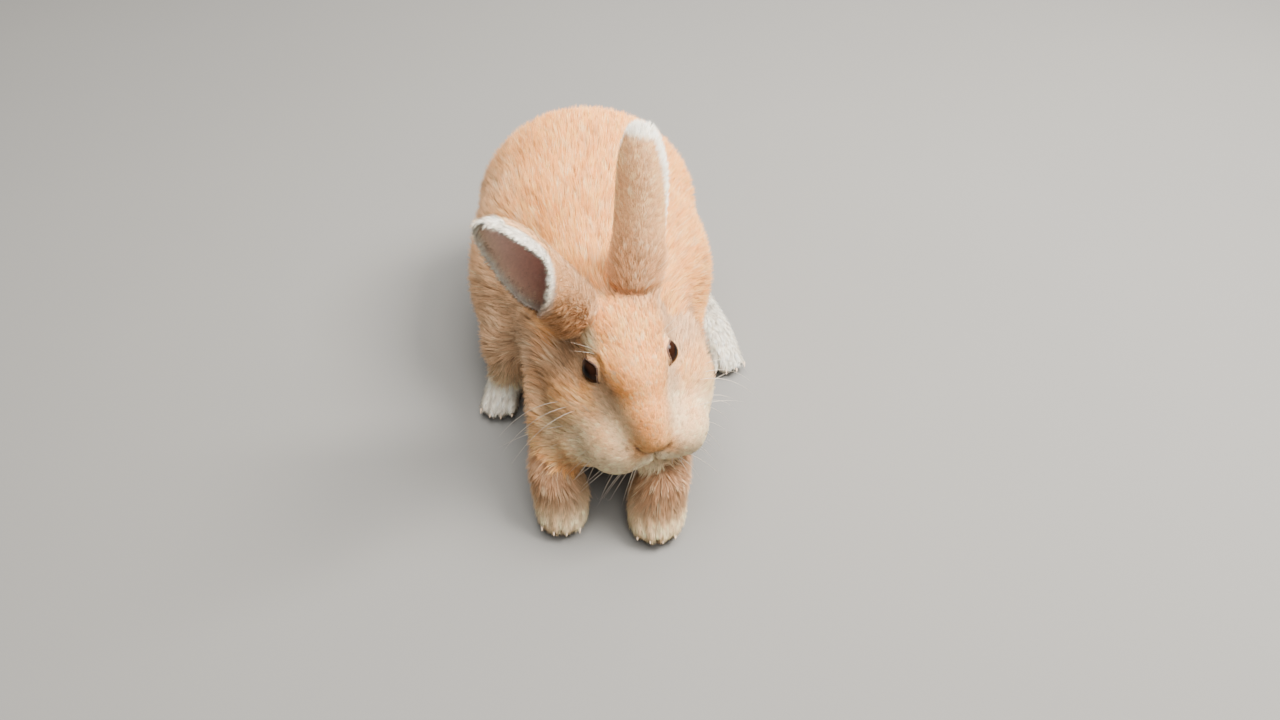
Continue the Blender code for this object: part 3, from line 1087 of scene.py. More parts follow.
MARKS = (
    Mark((-15, 60, 150), (70, 110, 50), TINTS.fawn, 0.5, 0.6),
    # Painted shade: a greyer sand on the right flank and shoulder, the side that the lamps leave in shade.
    Mark((-105, 10, 70), (45, 150, 90), TINTS.sand, 0.6, 0.75),
    Mark((-62, -60, 74), (34, 52, 46), TINTS.sand, 0.5, 0.7),
    Mark((0, 20, 10), (120, 170, 34), TINTS.cream, 0.5, 0.9),
    Mark((-16, 172, 70), (26, 20, 32), TINTS.white, 0.4, 0.9),
    Mark((36, -160, 8), (26, 22, 16), TINTS.cream, 0.4, 0.9),
    Mark((-29, -154, 8), (26, 22, 16), TINTS.cream, 0.4, 0.9),
    Mark((92, 20, 10), (34, 80, 26), TINTS.white, 0.3, 0.95),
    Mark((-78, -10, 8), (34, 80, 20), TINTS.white, 0.3, 0.95),
    # The muzzle, chin and throat.
    Mark((40, 24, -36), (26, 22, 17), TINTS.cream, 0.45, 0.9, True, True),
    Mark((30, 0, -56), (30, 30, 16), TINTS.cream, 0.4, 0.95, True),
    Mark((8, 0, -62), (34, 30, 18), TINTS.cream, 0.4, 0.7, True),
    Mark((0, 31, -24), (22, 14, 12), TINTS.light_fawn, 0.6, 0.7, True, True),
    # Painted light: the groove from each eye to the nose is paler and greyer, against the shade that falls
    # in it.
    Mark((30, 16, -14), (26, 11, 13), TINTS.cream, 0.6, 0.6, True, True),
    Mark((16, 19, -6), (18, 8, 12), TINTS.sand, 0.5, 0.7, True, True),
    Mark((4, 26, -66), (34, 24, 18), TINTS.sand, 0.5, 0.8, True, True),
    Mark((-16, 42, -42), (26, 20, 26), TINTS.sand, 0.6, 0.7, True, True),
    Mark((16, 36, -38), (26, 20, 22), TINTS.cream, 0.5, 0.65, True, True),
    Mark((6, 42, -52), (26, 24, 16), TINTS.cream, 0.5, 0.6, True, True),
    # The nose and its bridge.
    Mark((55, 0, -20), (15, 13, 12), TINTS.light_fawn, 0.5, 0.8, True),
    Mark((53, 3.5, -37), (14, 12, 9), TINTS.cream, 0.3, 0.9, True, True),
    # Pale rings round the eyes and streaks above them.
    Mark((-1, 24, 0), (13, 14, 10.5), TINTS.cream, 0.3, 0.35, True, True),
    Mark((-12, -23, 14), (11, 6, 5.5), TINTS.cream, 0.5, 0.75, True),
    # Painted shade behind the eyes and where the ears rise from the head: a greyer sand for the shade under
    # the ears.
    Mark((-25, 38, -5), (27, 17, 27), TINTS.sand, 0.5, 0.75, True, True),
    Mark((-39, 13, 12), (17, 16, 15), TINTS.sand, 0.4, 0.85, True),
    Mark((-39, -24, 12), (18, 18, 15), TINTS.sand, 0.4, 0.7, True),
)


@dataclass
class Markings:
    """The colours of skin and coat, by where they are on the animal."""

    head: HeadAxes
    anatomy: Anatomy
    wave_size: float = 0.05
    wobble_size: float = 0.018
    overhang_shade: float = 0.9

    def read(self, points: Array, normals: Array, labels: Array) -> Array:
        """The colour of the coat at points of the skin.

        Args:
            points: Points of the skin.
            normals: Their directions.
            labels: The numbers of the nodes that they belong to.

        Returns:
            A linear colour for each point.
        """
        amount = 0.35 + 0.3 * ripple(points, self.wave_size)
        colour = mix_in(np.array(TINTS.fawn), TINTS.light_fawn, amount)
        colour = mix_in(colour, TINTS.light_fawn, smoothstep(0.2, -0.7, normals[:, 2]) * 0.7)
        on_head = self.anatomy.among(labels, *HEAD_PARTS)
        model_mm, head_mm = points / MM, self.head.read(points)
        # Painted shade: legs, breast and neck just under the head are darkened towards umber, as if in the
        # head's shadow.
        shaded = smoothstep(0.055, 0.015, self.anatomy.near_head(points))
        shaded = shaded * smoothstep(0.115, 0.085, points[:, 2])
        shaded = shaded * self.anatomy.among(labels, "foreleg", "neck", "trunk") * self.overhang_shade
        colour = mix_in(colour, TINTS.umber, shaded)
        wobble = np.clip(1 + 0.06 * ripple(points, self.wobble_size, 2.0), 0.5, 1.5)
        for mark in MARKS:
            share = mark.share(head_mm if mark.on_head else model_mm) * wobble
            share = np.clip(np.where(on_head == mark.on_head, share, 0.0), 0, 1)
            colour = mix_in(colour, mark.colour, share)
        # Painted shade: each crease's line is darkened, standing in for the shade in the nostrils, the
        # cleft lip and the mouth.
        for crease in CREASES:
            colour = mix_in(colour, TINTS.dark, crease.share(head_mm) * crease.shade * on_head)
        for ear in EARS:
            mine = self.anatomy.among(labels, f"ear_{ear.side.word}")
            if mine.any():
                colour[mine] = self.ear(ear, points[mine], colour[mine])
        return colour

    def ear(self, ear: EarShape, points: Array, colour: Array) -> Array:
        """The colours of an ear: tan back, browner at its root, pink inside, white at its rim and tip.

        Args:
            ear: The ear.
            points: Points on it.
            colour: The colour of the head at each.

        Returns:
            A linear colour for each point.
        """
        share, across, lift = ear.read(self.head, points)
        within = lift < 0
        side = np.abs(across)
        browned = smoothstep(ear.brown_share, ear.brown_share - 0.35, share) * 0.75
        back = mix_in(np.array(TINTS.ear_tan), TINTS.light_fawn, smoothstep(0.2, 0.8, side) * 0.6)
        back = mix_in(back, TINTS.russet, browned)
        flush = smoothstep(-0.55, 0.25, across) * smoothstep(0.85, 0.45, share)
        inside = mix_in(np.array(TINTS.pale_pink), TINTS.pink, flush)
        inside = mix_in(inside, TINTS.cream, smoothstep(0.45, 0.9, side) * 0.45)
        made = np.where(within[:, None], inside, back)
        tip = np.where(within, smoothstep(0.62, 1.0, share), smoothstep(0.80, 1.03, share))
        edged = (across > 0) | (ear.side is Side.LEFT)
        wide = np.where(within, 0.0, 0.22 * smoothstep(0.55, 0.95, share) * edged)
        white = smoothstep(0.80 - wide, 0.95 - wide, np.maximum(side, tip))
        white *= np.where(within, 1.0, smoothstep(0.36, 0.60, share))
        # Long white hair covers one edge of the inside, and all of it near the tip.
        start = 0.85 - 1.05 * smoothstep(0.45, 0.95, share)
        fluff = smoothstep(start - 0.12, start + 0.15, across) * within
        made = mix_in(made, TINTS.white, np.maximum(white, fluff) * smoothstep(0.1, 0.35, share))
        return made + (colour - made) * smoothstep(0.03, 0.0, share)[:, None]


# ---- finishes


# The places of a colour Mix node's factor, colours and result.
MIX_FACTOR, MIX_FIRST, MIX_SECOND, MIX_RESULT = 0, 6, 7, 2


class Shading:
    """A material with a Principled shader, while its nodes are put together."""

    def __init__(self, name: str, roughness: float, specular: float) -> None:
        """Makes the material.

        Args:
            name: Its name.
            roughness: The shader's roughness.
            specular: The shader's specular level.
        """
        self.material = bpy.data.materials.new(name)
        self.material.use_nodes = True
        self.nodes = self.material.node_tree.nodes
        self.link = self.material.node_tree.links.new
        self.shader = self.nodes["Principled BSDF"].inputs
        self.shader["Roughness"].default_value = roughness
        self.shader["Specular IOR Level"].default_value = specular

    def noise(self, scale: float, detail: float = 2.0) -> Node:
        """Adds a noise pattern that keeps its place on the object.

        Args:
            scale: The pattern's fineness.
            detail: How many finer layers it has.

        Returns:
            The noise node.
        """
        place = self.nodes.new("ShaderNodeTexCoord")
        noise = self.nodes.new("ShaderNodeTexNoise")
        noise.inputs["Scale"].default_value = scale
        noise.inputs["Detail"].default_value = detail
        self.link(place.outputs["Object"], noise.inputs["Vector"])
        return noise

    def mix(self, way: str = "MIX") -> Node:
        """Adds a mix of two colours that gives the shader its colour.

        Args:
            way: How the two are put together.

        Returns:
            The mix node.
        """
        mix = self.nodes.new("ShaderNodeMix")
        mix.data_type = "RGBA"
        mix.blend_type = way
        self.link(mix.outputs[MIX_RESULT], self.shader["Base Color"])
        return mix

    def stored_colour(self, spread: float, scale: float) -> None:
        """Gives the shader the mesh's stored colour, slightly mottled.

        Args:
            spread: How far the mottling darkens and lightens.
            scale: The pattern's fineness.
        """
        stored = self.nodes.new("ShaderNodeAttribute")
        stored.attribute_name = COLOUR_NAME
        noise = self.noise(scale, 5.0)
        noise.inputs["Roughness"].default_value = 0.65
        ramp = self.nodes.new("ShaderNodeMapRange")
        reach = {"From Min": 0.25, "From Max": 0.75, "To Min": 1.0 - spread, "To Max": 1.0 + spread}
        for name, value in reach.items():
            ramp.inputs[name].default_value = value
        self.link(noise.outputs["Fac"], ramp.inputs["Value"])
        mix = self.mix("MULTIPLY")
        mix.inputs[MIX_FACTOR].default_value = 1.0
        self.link(stored.outputs["Color"], mix.inputs[MIX_FIRST])
        self.link(ramp.outputs["Result"], mix.inputs[MIX_SECOND])

    def bump(self, scale: float, height: float) -> None:
        """Adds a fine bump.

        Args:
            scale: The pattern's fineness.
            height: The bump's height in metres.
        """
        noise = self.noise(scale, 3.0)
        bump = self.nodes.new("ShaderNodeBump")
        bump.inputs["Strength"].default_value = 0.6
        bump.inputs["Distance"].default_value = height
        self.link(noise.outputs["Fac"], bump.inputs["Height"])
        self.link(bump.outputs["Normal"], self.shader["Normal"])


@dataclass(frozen=True)
class FurFinish:
    """Soft hair: a stored colour, a faint mottle and a pale sheen."""

    name: str
    roughness: float = 0.72
    specular: float = 0.12
    sheen: float = 0.12
    sheen_roughness: float = 0.45
    sheen_tint: tuple = (1.0, 0.74, 0.48, 1.0)
    mottle: float = 0.10
    mottle_scale: float = 130.0

    def make(self) -> Material:
        """Builds the material.

        Returns:
            The material.
        """
        made = Shading(self.name, self.roughness, self.specular)
        made.shader["Sheen Weight"].default_value = self.sheen
        made.shader["Sheen Roughness"].default_value = self.sheen_roughness
        made.shader["Sheen Tint"].default_value = self.sheen_tint
        made.stored_colour(self.mottle, self.mottle_scale)
        return made.material


@dataclass(frozen=True)
class SkinFinish:
    """Skin under short fur: a stored colour, with a bump of fine hair roots."""

    name: str = "skin_under_fur"
    roughness: float = 0.66
    specular: float = 0.28
    mottle: float = 0.12
    mottle_scale: float = 420.0
    bump_scale: float = 1900.0
    bump_height: float = 0.0005

    def make(self) -> Material:
        """Builds the material.

        Returns:
            The material.
        """
        made = Shading(self.name, self.roughness, self.specular)
        made.stored_colour(self.mottle, self.mottle_scale)
        made.bump(self.bump_scale, self.bump_height)
        return made.material


@dataclass(frozen=True)
class EyeFinish:
    """A dark brown eye: a nearly black pupil in a brown iris, under a wet cornea."""

    name: str = "dark_brown_eye"
    roughness: float = 0.10
    specular: float = 0.10
    pupil: tuple = (0.003, 0.0015, 0.001, 1.0)
    iris: tuple = (0.022, 0.008, 0.004, 1.0)
    pupil_share: float = 0.45
    iris_share: float = 0.80
    fray: float = 0.0012
    fray_scale: float = 900.0

    def make(self, middle: tuple, outward: tuple, radius: float) -> Material:
        """Builds the material.

        Args:
            middle: The eyeball's middle.
            outward: The direction that the eye looks in.
            radius: The eyeball's radius.

        Returns:
            The material, with its iris centred on that direction.
        """
        made = Shading(self.name, self.roughness, self.specular)
        place = made.nodes.new("ShaderNodeTexCoord")
        gap = made.nodes.new("ShaderNodeVectorMath")
        gap.operation = "DISTANCE"
        gap.inputs[1].default_value = Vector(middle) + Vector(outward).normalized() * radius
        made.link(place.outputs["Object"], gap.inputs[0])
        wobble = made.nodes.new("ShaderNodeMath")
        wobble.operation = "MULTIPLY_ADD"
        wobble.inputs[1].default_value = self.fray
        made.link(made.noise(self.fray_scale).outputs["Fac"], wobble.inputs[0])
        made.link(gap.outputs["Value"], wobble.inputs[2])
        ramp = made.nodes.new("ShaderNodeMapRange")
        ramp.interpolation_type = "SMOOTHSTEP"
        ramp.inputs["From Min"].default_value = radius * self.pupil_share
        ramp.inputs["From Max"].default_value = radius * self.iris_share
        made.link(wobble.outputs["Value"], ramp.inputs["Value"])
        mix = made.mix()
        mix.inputs[MIX_FIRST].default_value = self.pupil
        mix.inputs[MIX_SECOND].default_value = self.iris
        made.link(ramp.outputs["Result"], mix.inputs[MIX_FACTOR])
        return made.material


@dataclass(frozen=True)
class PlainFinish:
    """A mottled colour with a faint bump, for horn, whiskers, lids' edges and the floor."""

    name: str
    light: tuple
    dark: tuple
    roughness: float
    specular: float
    scale: float
    bump_height: float = 0.0002

    def make(self) -> Material:
        """Builds the material.

        Returns:
            The material.
        """
        made = Shading(self.name, self.roughness, self.specular)
        mix = made.mix()
        mix.inputs[MIX_FIRST].default_value = (*self.dark, 1.0)
        mix.inputs[MIX_SECOND].default_value = (*self.light, 1.0)
        made.link(made.noise(self.scale, 3.0).outputs["Fac"], mix.inputs[MIX_FACTOR])
        made.bump(self.scale * 2.0, self.bump_height)
        return made.material


HORN = PlainFinish("claw_horn_finish", (0.72, 0.56, 0.40), (0.45, 0.32, 0.22), 0.40, 0.4, 700.0)
WHISKER = PlainFinish("whisker_hair", (0.86, 0.78, 0.66), (0.62, 0.50, 0.36), 0.42, 0.5, 300.0)
LASH = PlainFinish("lash_hair", (0.40, 0.26, 0.16), (0.20, 0.12, 0.08), 0.5, 0.4, 500.0)
LID_EDGE = PlainFinish("lid_edge", (0.15, 0.085, 0.06), (0.09, 0.05, 0.04), 0.4, 0.5, 900.0)
GROUND = PlainFinish("pale_floor", (0.20, 0.195, 0.182), (0.185, 0.18, 0.168), 0.85, 0.2, 3.0)


# ---- making the coat


@dataclass(frozen=True)
class CoatPiece:
    """One piece of the coat."""

    name: str
    parts: tuple
    slot: str
    make: Make = Make.STRAIGHT
    axis: int = -1
    low: float = -1e9
    high: float = 1e9

    def covers(self, anatomy: Anatomy, labels: Array, points: Array) -> Array:
        """Whether each point is under this piece.

        Args:
            anatomy: Which parts the animal has.
            labels: The numbers of the nodes that the points belong to.
            points: Points of the skin.

        Returns:
            True or False for each.
        """
        mine = anatomy.among(labels, *self.parts)
        if self.axis >= 0:
            mine &= (points[:, self.axis] >= self.low) & (points[:, self.axis] < self.high)
        return mine


COAT_PIECES = (
    CoatPiece("coat_face", HEAD_PARTS, "fawn_fur", axis=1, high=-0.114),
    CoatPiece("coat_crown", HEAD_PARTS, "fawn_fur", axis=1, low=-0.114),
    CoatPiece("coat_ear_left", ("ear_left",), "ear_fur"),
    CoatPiece("coat_ear_right", ("ear_right",), "ear_fur"),
    CoatPiece("coat_neck", ("neck",), "fawn_fur"),
    CoatPiece("coat_trunk_left", ("trunk",), "fawn_fur", axis=0, low=0.012),
    CoatPiece("coat_trunk_middle", ("trunk",), "fawn_fur", axis=0, low=-0.042, high=0.012),
    CoatPiece("coat_trunk_right", ("trunk",), "fawn_fur", axis=0, high=-0.042),
    CoatPiece("coat_haunch_left", ("haunch_left",), "fawn_fur"),
    CoatPiece("coat_haunch_right", ("haunch_right",), "fawn_fur"),
    CoatPiece("coat_forelegs", ("foreleg", "forepaw"), "fawn_fur"),
    CoatPiece("coat_hindfeet", ("hindfoot",), "cream_fur"),
    CoatPiece("coat_tail", ("tail",), "cream_fur", Make.BENT),
)


@dataclass
class Tufts:
    """Tufts of one piece of coat while they are being made: one row for each."""

    root: Array
    normal: Array
    lie: Array
    length: Array
    lift: Array
    width: Array
    clump: Array
    label: Array
    lock: Array


# The columns of the coat's measures at the skin's points, in the units that Fur gives.
LENGTH, LIFT, WIDTH, DENSITY, CLUMP = range(5)


@dataclass(frozen=True)
class FaceCoat:
    """The face's coat: at the nose, what the back of the head adds, and what low cheeks add to that."""

    length: tuple = (2.8, 4.4, 11.5)
    lift: tuple = (15.0, 0.0, 13.0)
    width: tuple = (0.36, 0.12, 0.25)
    density: tuple = (2.9, -0.9, 0.0)
    clump: tuple = (0.35, 0.30, 0.0)

    def at(self, local: Array) -> Array:
        """The coat's measures at points of the head.

        Args:
            local: The points.

        Returns:
            The five measures of each.
        """
        back = smoothstep(50.0, -25.0, local[:, 0])
        low = smoothstep(8.0, -34.0, local[:, 2])
        columns = (self.length, self.lift, self.width, self.density, self.clump)
        made = [nose + more * back + cheek * back * low for nose, more, cheek in columns]
        return np.stack(made, axis=1)


@dataclass(frozen=True)
class EarCoat:
    """Where the ears' coat differs: what the cuff adds, the inside's middle and edges, and the rim."""

    cuff: tuple = (4.5, 12.0, 0.15)
    inside_length: tuple = (1.6, 4.6)
    inside_lift: tuple = (14.0, 8.0)
    inside_density: tuple = (0.35, 1.2)
    rim: tuple = (4.6, 24.0, 0.34, 3.4, 0.3)

    def lay(self, values: Array, mine: Array, place: tuple) -> None:
        """Writes the measures of one ear's coat.

        Args:
            values: The measures of the whole skin, changed here.
            mine: Which points are on the ear.
            place: Their share of its length, how far across they are, and how far outside its wall.
        """
        share, across, lift = place
        edge = np.maximum(np.abs(across), smoothstep(0.60, 1.0, share))
        inside = mine & (lift < 0) & (share > 0.08)
        outside = mine & ~inside
        values[outside, :DENSITY] += np.outer(smoothstep(0.50, 0.22, share[outside]), self.cuff)
        fluff = smoothstep(0.62, 0.95, edge[inside])
        values[inside, LENGTH] = self.inside_length[0] + self.inside_length[1] * fluff
        values[inside, LIFT] = self.inside_lift[0] + self.inside_lift[1] * fluff
        values[inside, DENSITY] *= self.inside_density[0] + self.inside_density[1] * fluff
        values[mine & (edge > 0.93) & (share > 0.12)] = self.rim


def tuft_faces(levels: int, count: int) -> Array:
    """The triangles of closed tufts, each of rings of three points and a tip.

    Args:
        levels: How many rings a tuft has.
        count: How many tufts there are.

    Returns:
        Three point numbers for each triangle.
    """
    tip = 3 * levels
    faces = [(0, 1, 2)]
    sides = ((1, 0), (2, 1), (0, 2))
    for base in range(0, tip - 3, 3):
        for a, b in sides:
            faces += [(base + a, base + b, base + b + 3), (base + a, base + b + 3, base + a + 3)]
    faces += [(tip - 3 + a, tip - 3 + b, tip) for a, b in sides]
    return (np.array(faces)[None] + (tip + 1) * np.arange(count)[:, None, None]).reshape(-1, 3)


@dataclass
class Coat:
    """The fur: solid tufts over the skin, which follow the lie of the coat."""

    skin: Object
    head: HeadAxes
    anatomy: Anatomy
    markings: Markings
    triangle_limit: int = 199000
    lock_size: int = 13
    nose_mm: tuple = (60.0, 0.0, -26.5)
    tail_root: tuple = (-0.0156, 0.150, 0.050)
    stray: float = 0.16
    most_gathered: float = 0.85
    most_shifted: float = 0.006
    sunk: float = 0.00025
    sole: float = 0.0012
    floor_gap: float = 0.0003
    patch: float = 0.0015
    surface: Surface = field(init=False)
    tree: BVHTree = field(init=False)
    labels: Array = field(init=False)
    lie: Array = field(init=False)
    values: Array = field(init=False)

    def __post_init__(self) -> None:
        """Reads the skin and works out the coat at each of its points."""
        self.surface = as_surface(self.skin)
        self.tree = self.surface.tree()
        self.labels = self.anatomy.label(self.surface.points)
        self.lie = self.lay()
        self.values = self.measures()

    def lay(self) -> Array:
        """The direction that the coat lies in at each point of the skin.

        Returns:
            The directions, along the skin.
        """
        points, normals = self.surface.points, self.surface.normals

        def among(*names: str) -> Array:
            """Whether each point is of one of these kinds of part."""
            return self.anatomy.among(self.labels, *names)[:, None]

        steep = 1 - np.abs(normals[:, 2:3])
        lie = np.zeros_like(points) + (0.0, 1.0, 0.0)
        lie += np.where(among("trunk", "haunch"), steep * (0.0, 0.0, -0.75), 0.0)
        lie = np.where(among("neck"), (0.0, 0.75, 0.0) + steep * (0.0, 0.0, -1.0), lie)
        from_nose = unit(points - self.head.out(self.nose_mm)) + self.head.aim((-0.25, 0.0, -0.05))
        lie = np.where(among(*HEAD_PARTS), from_nose, lie)
        lie = np.where(among("foreleg"), (0.0, -0.25, -1.0), lie)
        lie = np.where(among("forepaw"), (0.0, -1.0, -0.35), lie)
        lie = np.where(among("hindfoot"), (0.0, -1.0, -0.2), lie)
        lie = np.where(among("tail"), unit(points - np.array(self.tail_root)) + (0.0, 0.2, 0.5), lie)
        for ear in EARS:
            axis, front, side = ear.axes()
            share, across, _ = ear.read(self.head, points)
            _, angle, twist = ear.measures(np.clip(share, 0, 1))
            turn = (angle * across + twist)[:, None]
            outward = (side * np.cos(turn) + front * np.sin(turn)) * np.sign(across)[:, None]
            spread = smoothstep(0.2, 0.95, np.abs(across)) * 0.9
            lie = np.where(among(f"ear_{ear.side.word}"), axis + outward * spread[:, None], lie)
        lie = self.surface.soften(tangent_part(lie, normals), 14)
        return tangent_part(lie + 1e-6, normals)

    def measures(self) -> Array:
        """Length, lift, width, density and clumping at each point of the skin.

        Returns:
            The five measures of each point.
        """
        furs = [FUR[name] for name in self.anatomy.families]
        table = np.array([(fur.length, fur.lift, fur.width, fur.density, fur.clump) for fur in furs])
        values = table[self.labels]
        points = self.surface.points
        local = self.head.read(points)
        face = self.anatomy.among(self.labels, *HEAD_PARTS)
        values[face] = FaceCoat().at(local)[face]
        values = self.surface.soften(values, 10)
        for ear in EARS:
            mine = self.anatomy.among(self.labels, f"ear_{ear.side.word}")
            EarCoat().lay(values, mine, ear.read(self.head, points))
        # Nothing grows over the eyeballs, and what grows by the lids and in the creases is short.
        length, density = values[:, LENGTH], values[:, DENSITY]
        for lid in LIDS:
            gap, reach = lid.gap_mm(local - lid.middle_mm(self.head))
            near = face & (reach < lid.radius_mm + 6)
            density[near & (gap < 0.2)] = 0.0
            length[near] = np.minimum(length[near], 2.3 + 0.9 * np.maximum(gap[near], 0.0))
        for crease in CREASES:
            far = crease.distance_mm(local)
            density[face & (far < crease.width_mm * 0.75)] = 0.0
            length[face] = np.minimum(length[face], 1.2 + 0.9 * far[face])
        density[points[:, 2] < self.sole] = 0.0
        return values

    def grow(self, piece: CoatPiece, seed: int) -> Tufts:
        """Scatters a piece's tufts over its part of the skin.

        Args:
            piece: The piece of coat.
            seed: The seed of its scatter.

        Returns:
            The tufts' roots and sizes.
        """
        random = np.random.default_rng(seed)
        surface = self.surface
        faces = surface.faces
        middles = surface.points[faces].mean(1)
        mine = piece.covers(self.anatomy, self.labels[faces[:, 0]], middles)
        density = self.values[:, DENSITY][faces].mean(1)
        total = np.cumsum(np.where(mine, surface.areas / MM**2 * density, 0.0))
        count = int(min(total[-1], self.triangle_limit // piece.make.value))
        picks = (np.arange(count) + random.random(count)) / count * total[-1]
        corner = faces[np.minimum(np.searchsorted(total, picks), len(faces) - 1)]
        first, second = random.random(count), random.random(count)
        over = first + second > 1
        first[over], second[over] = 1 - first[over], 1 - second[over]
        shares = np.stack([1 - first - second, first, second], axis=1)[..., None]

        def read(values: Array) -> Array:
            """Reads what the skin's points say where the tufts grow."""
            return (values[corner] * shares).sum(1)

        values = read(self.values)
        normal = unit(read(surface.normals))
        root = read(surface.points)
        LOG.info("%s: %d tufts of %d wanted", piece.name, count, int(total[-1]))
        return Tufts(
            root=root,
            normal=normal,
            lie=tangent_part(read(self.lie), normal),
            length=values[:, LENGTH] * random.uniform(0.72, 1.22, count) * MM,
            lift=np.radians(values[:, LIFT]) * random.uniform(0.55, 1.45, count),
            width=values[:, WIDTH] * random.uniform(0.7, 1.25, count) * MM,
            clump=values[:, CLUMP],
            label=self.labels[corner[:, 0]],
            lock=self.locks(root, random),
        )

    def locks(self, root: Array, random: np.random.Generator) -> Array:
        """Gathers tufts into locks, each round the nearest of the tufts chosen to lead.

        Args:
            root: Where the tufts grow.
            random: Chooses the leaders.

        Returns:
            The number of each tuft's leader.
        """
        leaders = np.flatnonzero(random.random(len(root)) < 1 / self.lock_size)
        tree = KDTree(len(leaders))
        for leader in leaders.tolist():
            tree.insert(root[leader], leader)
        tree.balance()
        return np.array([tree.find(point)[1] for point in root.tolist()])

    def tips(self, tufts: Tufts, seed: int) -> Array:
        """Where the tufts end: along the lie of the coat, in loose locks, at a height over the skin.

        Args:
            tufts: The tufts.
            seed: The seed of the locks.

        Returns:
            The tips.
        """
        random = np.random.default_rng(seed)
        count = len(tufts.root)
        across = np.cross(tufts.lie, tufts.normal)
        strays = random.normal(0.0, self.stray, count)[:, None]
        wave = self.stray * ripple(tufts.root, 0.035, 5.0)[:, None]
        heading = unit(tufts.lie + across * (strays + wave))
        reach = tufts.length * np.cos(tufts.lift)
        wanted = tufts.length * np.sin(tufts.lift)
        tip = tufts.root + heading * reach[:, None] + tufts.normal * wanted[:, None]
        gather = np.clip(tufts.clump * random.uniform(0.5, 1.5, count), 0, self.most_gathered)[:, None]
        tip += (tip[tufts.lock] - tip) * gather
        # Over the thin ears the nearest skin may be the wall's other side, so their tips stay.
        blade = self.anatomy.among(tufts.label, "ear")
        for number, point in enumerate(tip.tolist()):
            if blade[number]:
                continue
            spot, normal, _, _ = self.tree.find_nearest(Vector(point))
            height = (Vector(point) - spot).dot(normal)
            shift = max(min(wanted[number] - height, self.most_shifted), -self.most_shifted) * 0.85
            tip[number] += np.array(normal) * shift
        return tip

    def build(self, piece: CoatPiece, seed: int, material: Material) -> Object:
        """Builds one piece of the coat.

        Args:
            piece: The piece.
            seed: The seed of its scatter.
            material: Its finish.

        Returns:
            The piece's object.
        """
        tufts = self.grow(piece, seed)
        tip = self.tips(tufts, seed + 1)
        root = tufts.root - tufts.normal * self.sunk
        along = unit(tip - root)
        across = unit(np.cross(along, tufts.normal))
        up = np.cross(across, along)
        half = tufts.width[:, None] / 2

        def ring(middle: Array, size: float) -> list:
            """Three points round each tuft: its two sides and its ridge."""
            aside = across * half * size
            return [middle - aside, middle + aside, middle + up * half * size * 0.9]

        layers, heights = ring(root, 1.0), [0.0] * 3
        if piece.make is Make.BENT:
            bend = root + (tip - root) * 0.5 + up * (tufts.length * 0.10)[:, None]
            layers += ring(bend, 0.85)
            heights += [0.55] * 3
        points = np.stack(layers + [tip], axis=1)
        points[..., 2] = np.maximum(points[..., 2], self.floor_gap)
        heights = np.array(heights + [1.0])
        faces = tuft_faces(len(layers) // 3, len(tip))
        mesh = make_mesh(piece.name, points.reshape(-1, 3), faces)
        self.tint(mesh, tufts, heights, np.random.default_rng(seed + 2))
        self.round_off(mesh, tufts, (across, up), len(heights))
        self.unwrap(mesh, tufts, faces, len(heights))
        mesh.materials.append(material)
        made = add_object(piece.name, mesh)
        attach(made, BODY)
        return made

    def tint(self, mesh: Mesh, tufts: Tufts, heights: Array, random: np.random.Generator) -> None:
        """Colours the tufts: darker at the root as painted shade deep in the coat, paler at the tip, each a
        little different.

        Args:
            mesh: The piece's mesh.
            tufts: Its tufts.
            heights: How far up the tuft each of its points is.
            random: Chooses the differences.
        """
        colour = self.markings.read(tufts.root, tufts.normal, tufts.label)
        count = len(colour)
        light = random.normal(1.0, 0.06, count) * random.normal(1.0, 0.14, count)[tufts.lock]
        pale = (random.random(count) < 0.12) * random.uniform(0.1, 0.45, count)
        pale += np.clip(random.normal(-0.05, 0.16, count), 0, 0.5)[tufts.lock]
        colour = mix_in(colour, TINTS.cream, np.clip(pale, 0, 0.7)) * np.clip(light, 0.6, 1.3)[:, None]
        # The painted shade at the roots is weaker where the hair is white.
        root = 0.44 + 0.40 * smoothstep(0.25, 0.75, colour[:, 2])[:, None]
        shade = root + (1.06 - root) * smoothstep(0.0, 0.8, heights)
        set_colours(mesh, (colour[:, None, :] * shade[..., None]).reshape(-1, 3))

    def round_off(self, mesh: Mesh, tufts: Tufts, ways: tuple, size: int) -> None:
        """Turns the tufts' shading normals towards the skin's, so that the coat looks soft.

        Args:
            mesh: The piece's mesh.
            tufts: Its tufts.
            ways: The directions across each tuft and up from it.
            size: The number of points in a tuft.
        """
        across, up = ways
        around = [-across * 0.85 + up * 0.2, across * 0.85 + up * 0.2, up]
        # Thin ears let the light through, so their hair is shaded as if it faced more upwards.
        blade = self.anatomy.among(tufts.label, "ear")[:, None]
        base = unit(tufts.normal + blade * np.array((0.25, -0.1, 0.9)))
        turned = [unit(base * 1.2 + around[number % 3] * 0.7) for number in range(size - 1)]
        turned.append(unit(base + up * 0.4))
        layer = mesh.attributes.new("custom_normal", "FLOAT_VECTOR", "POINT")
        layer.data.foreach_set("vector", np.stack(turned, axis=1).astype(np.float32).ravel())
        mesh.update()

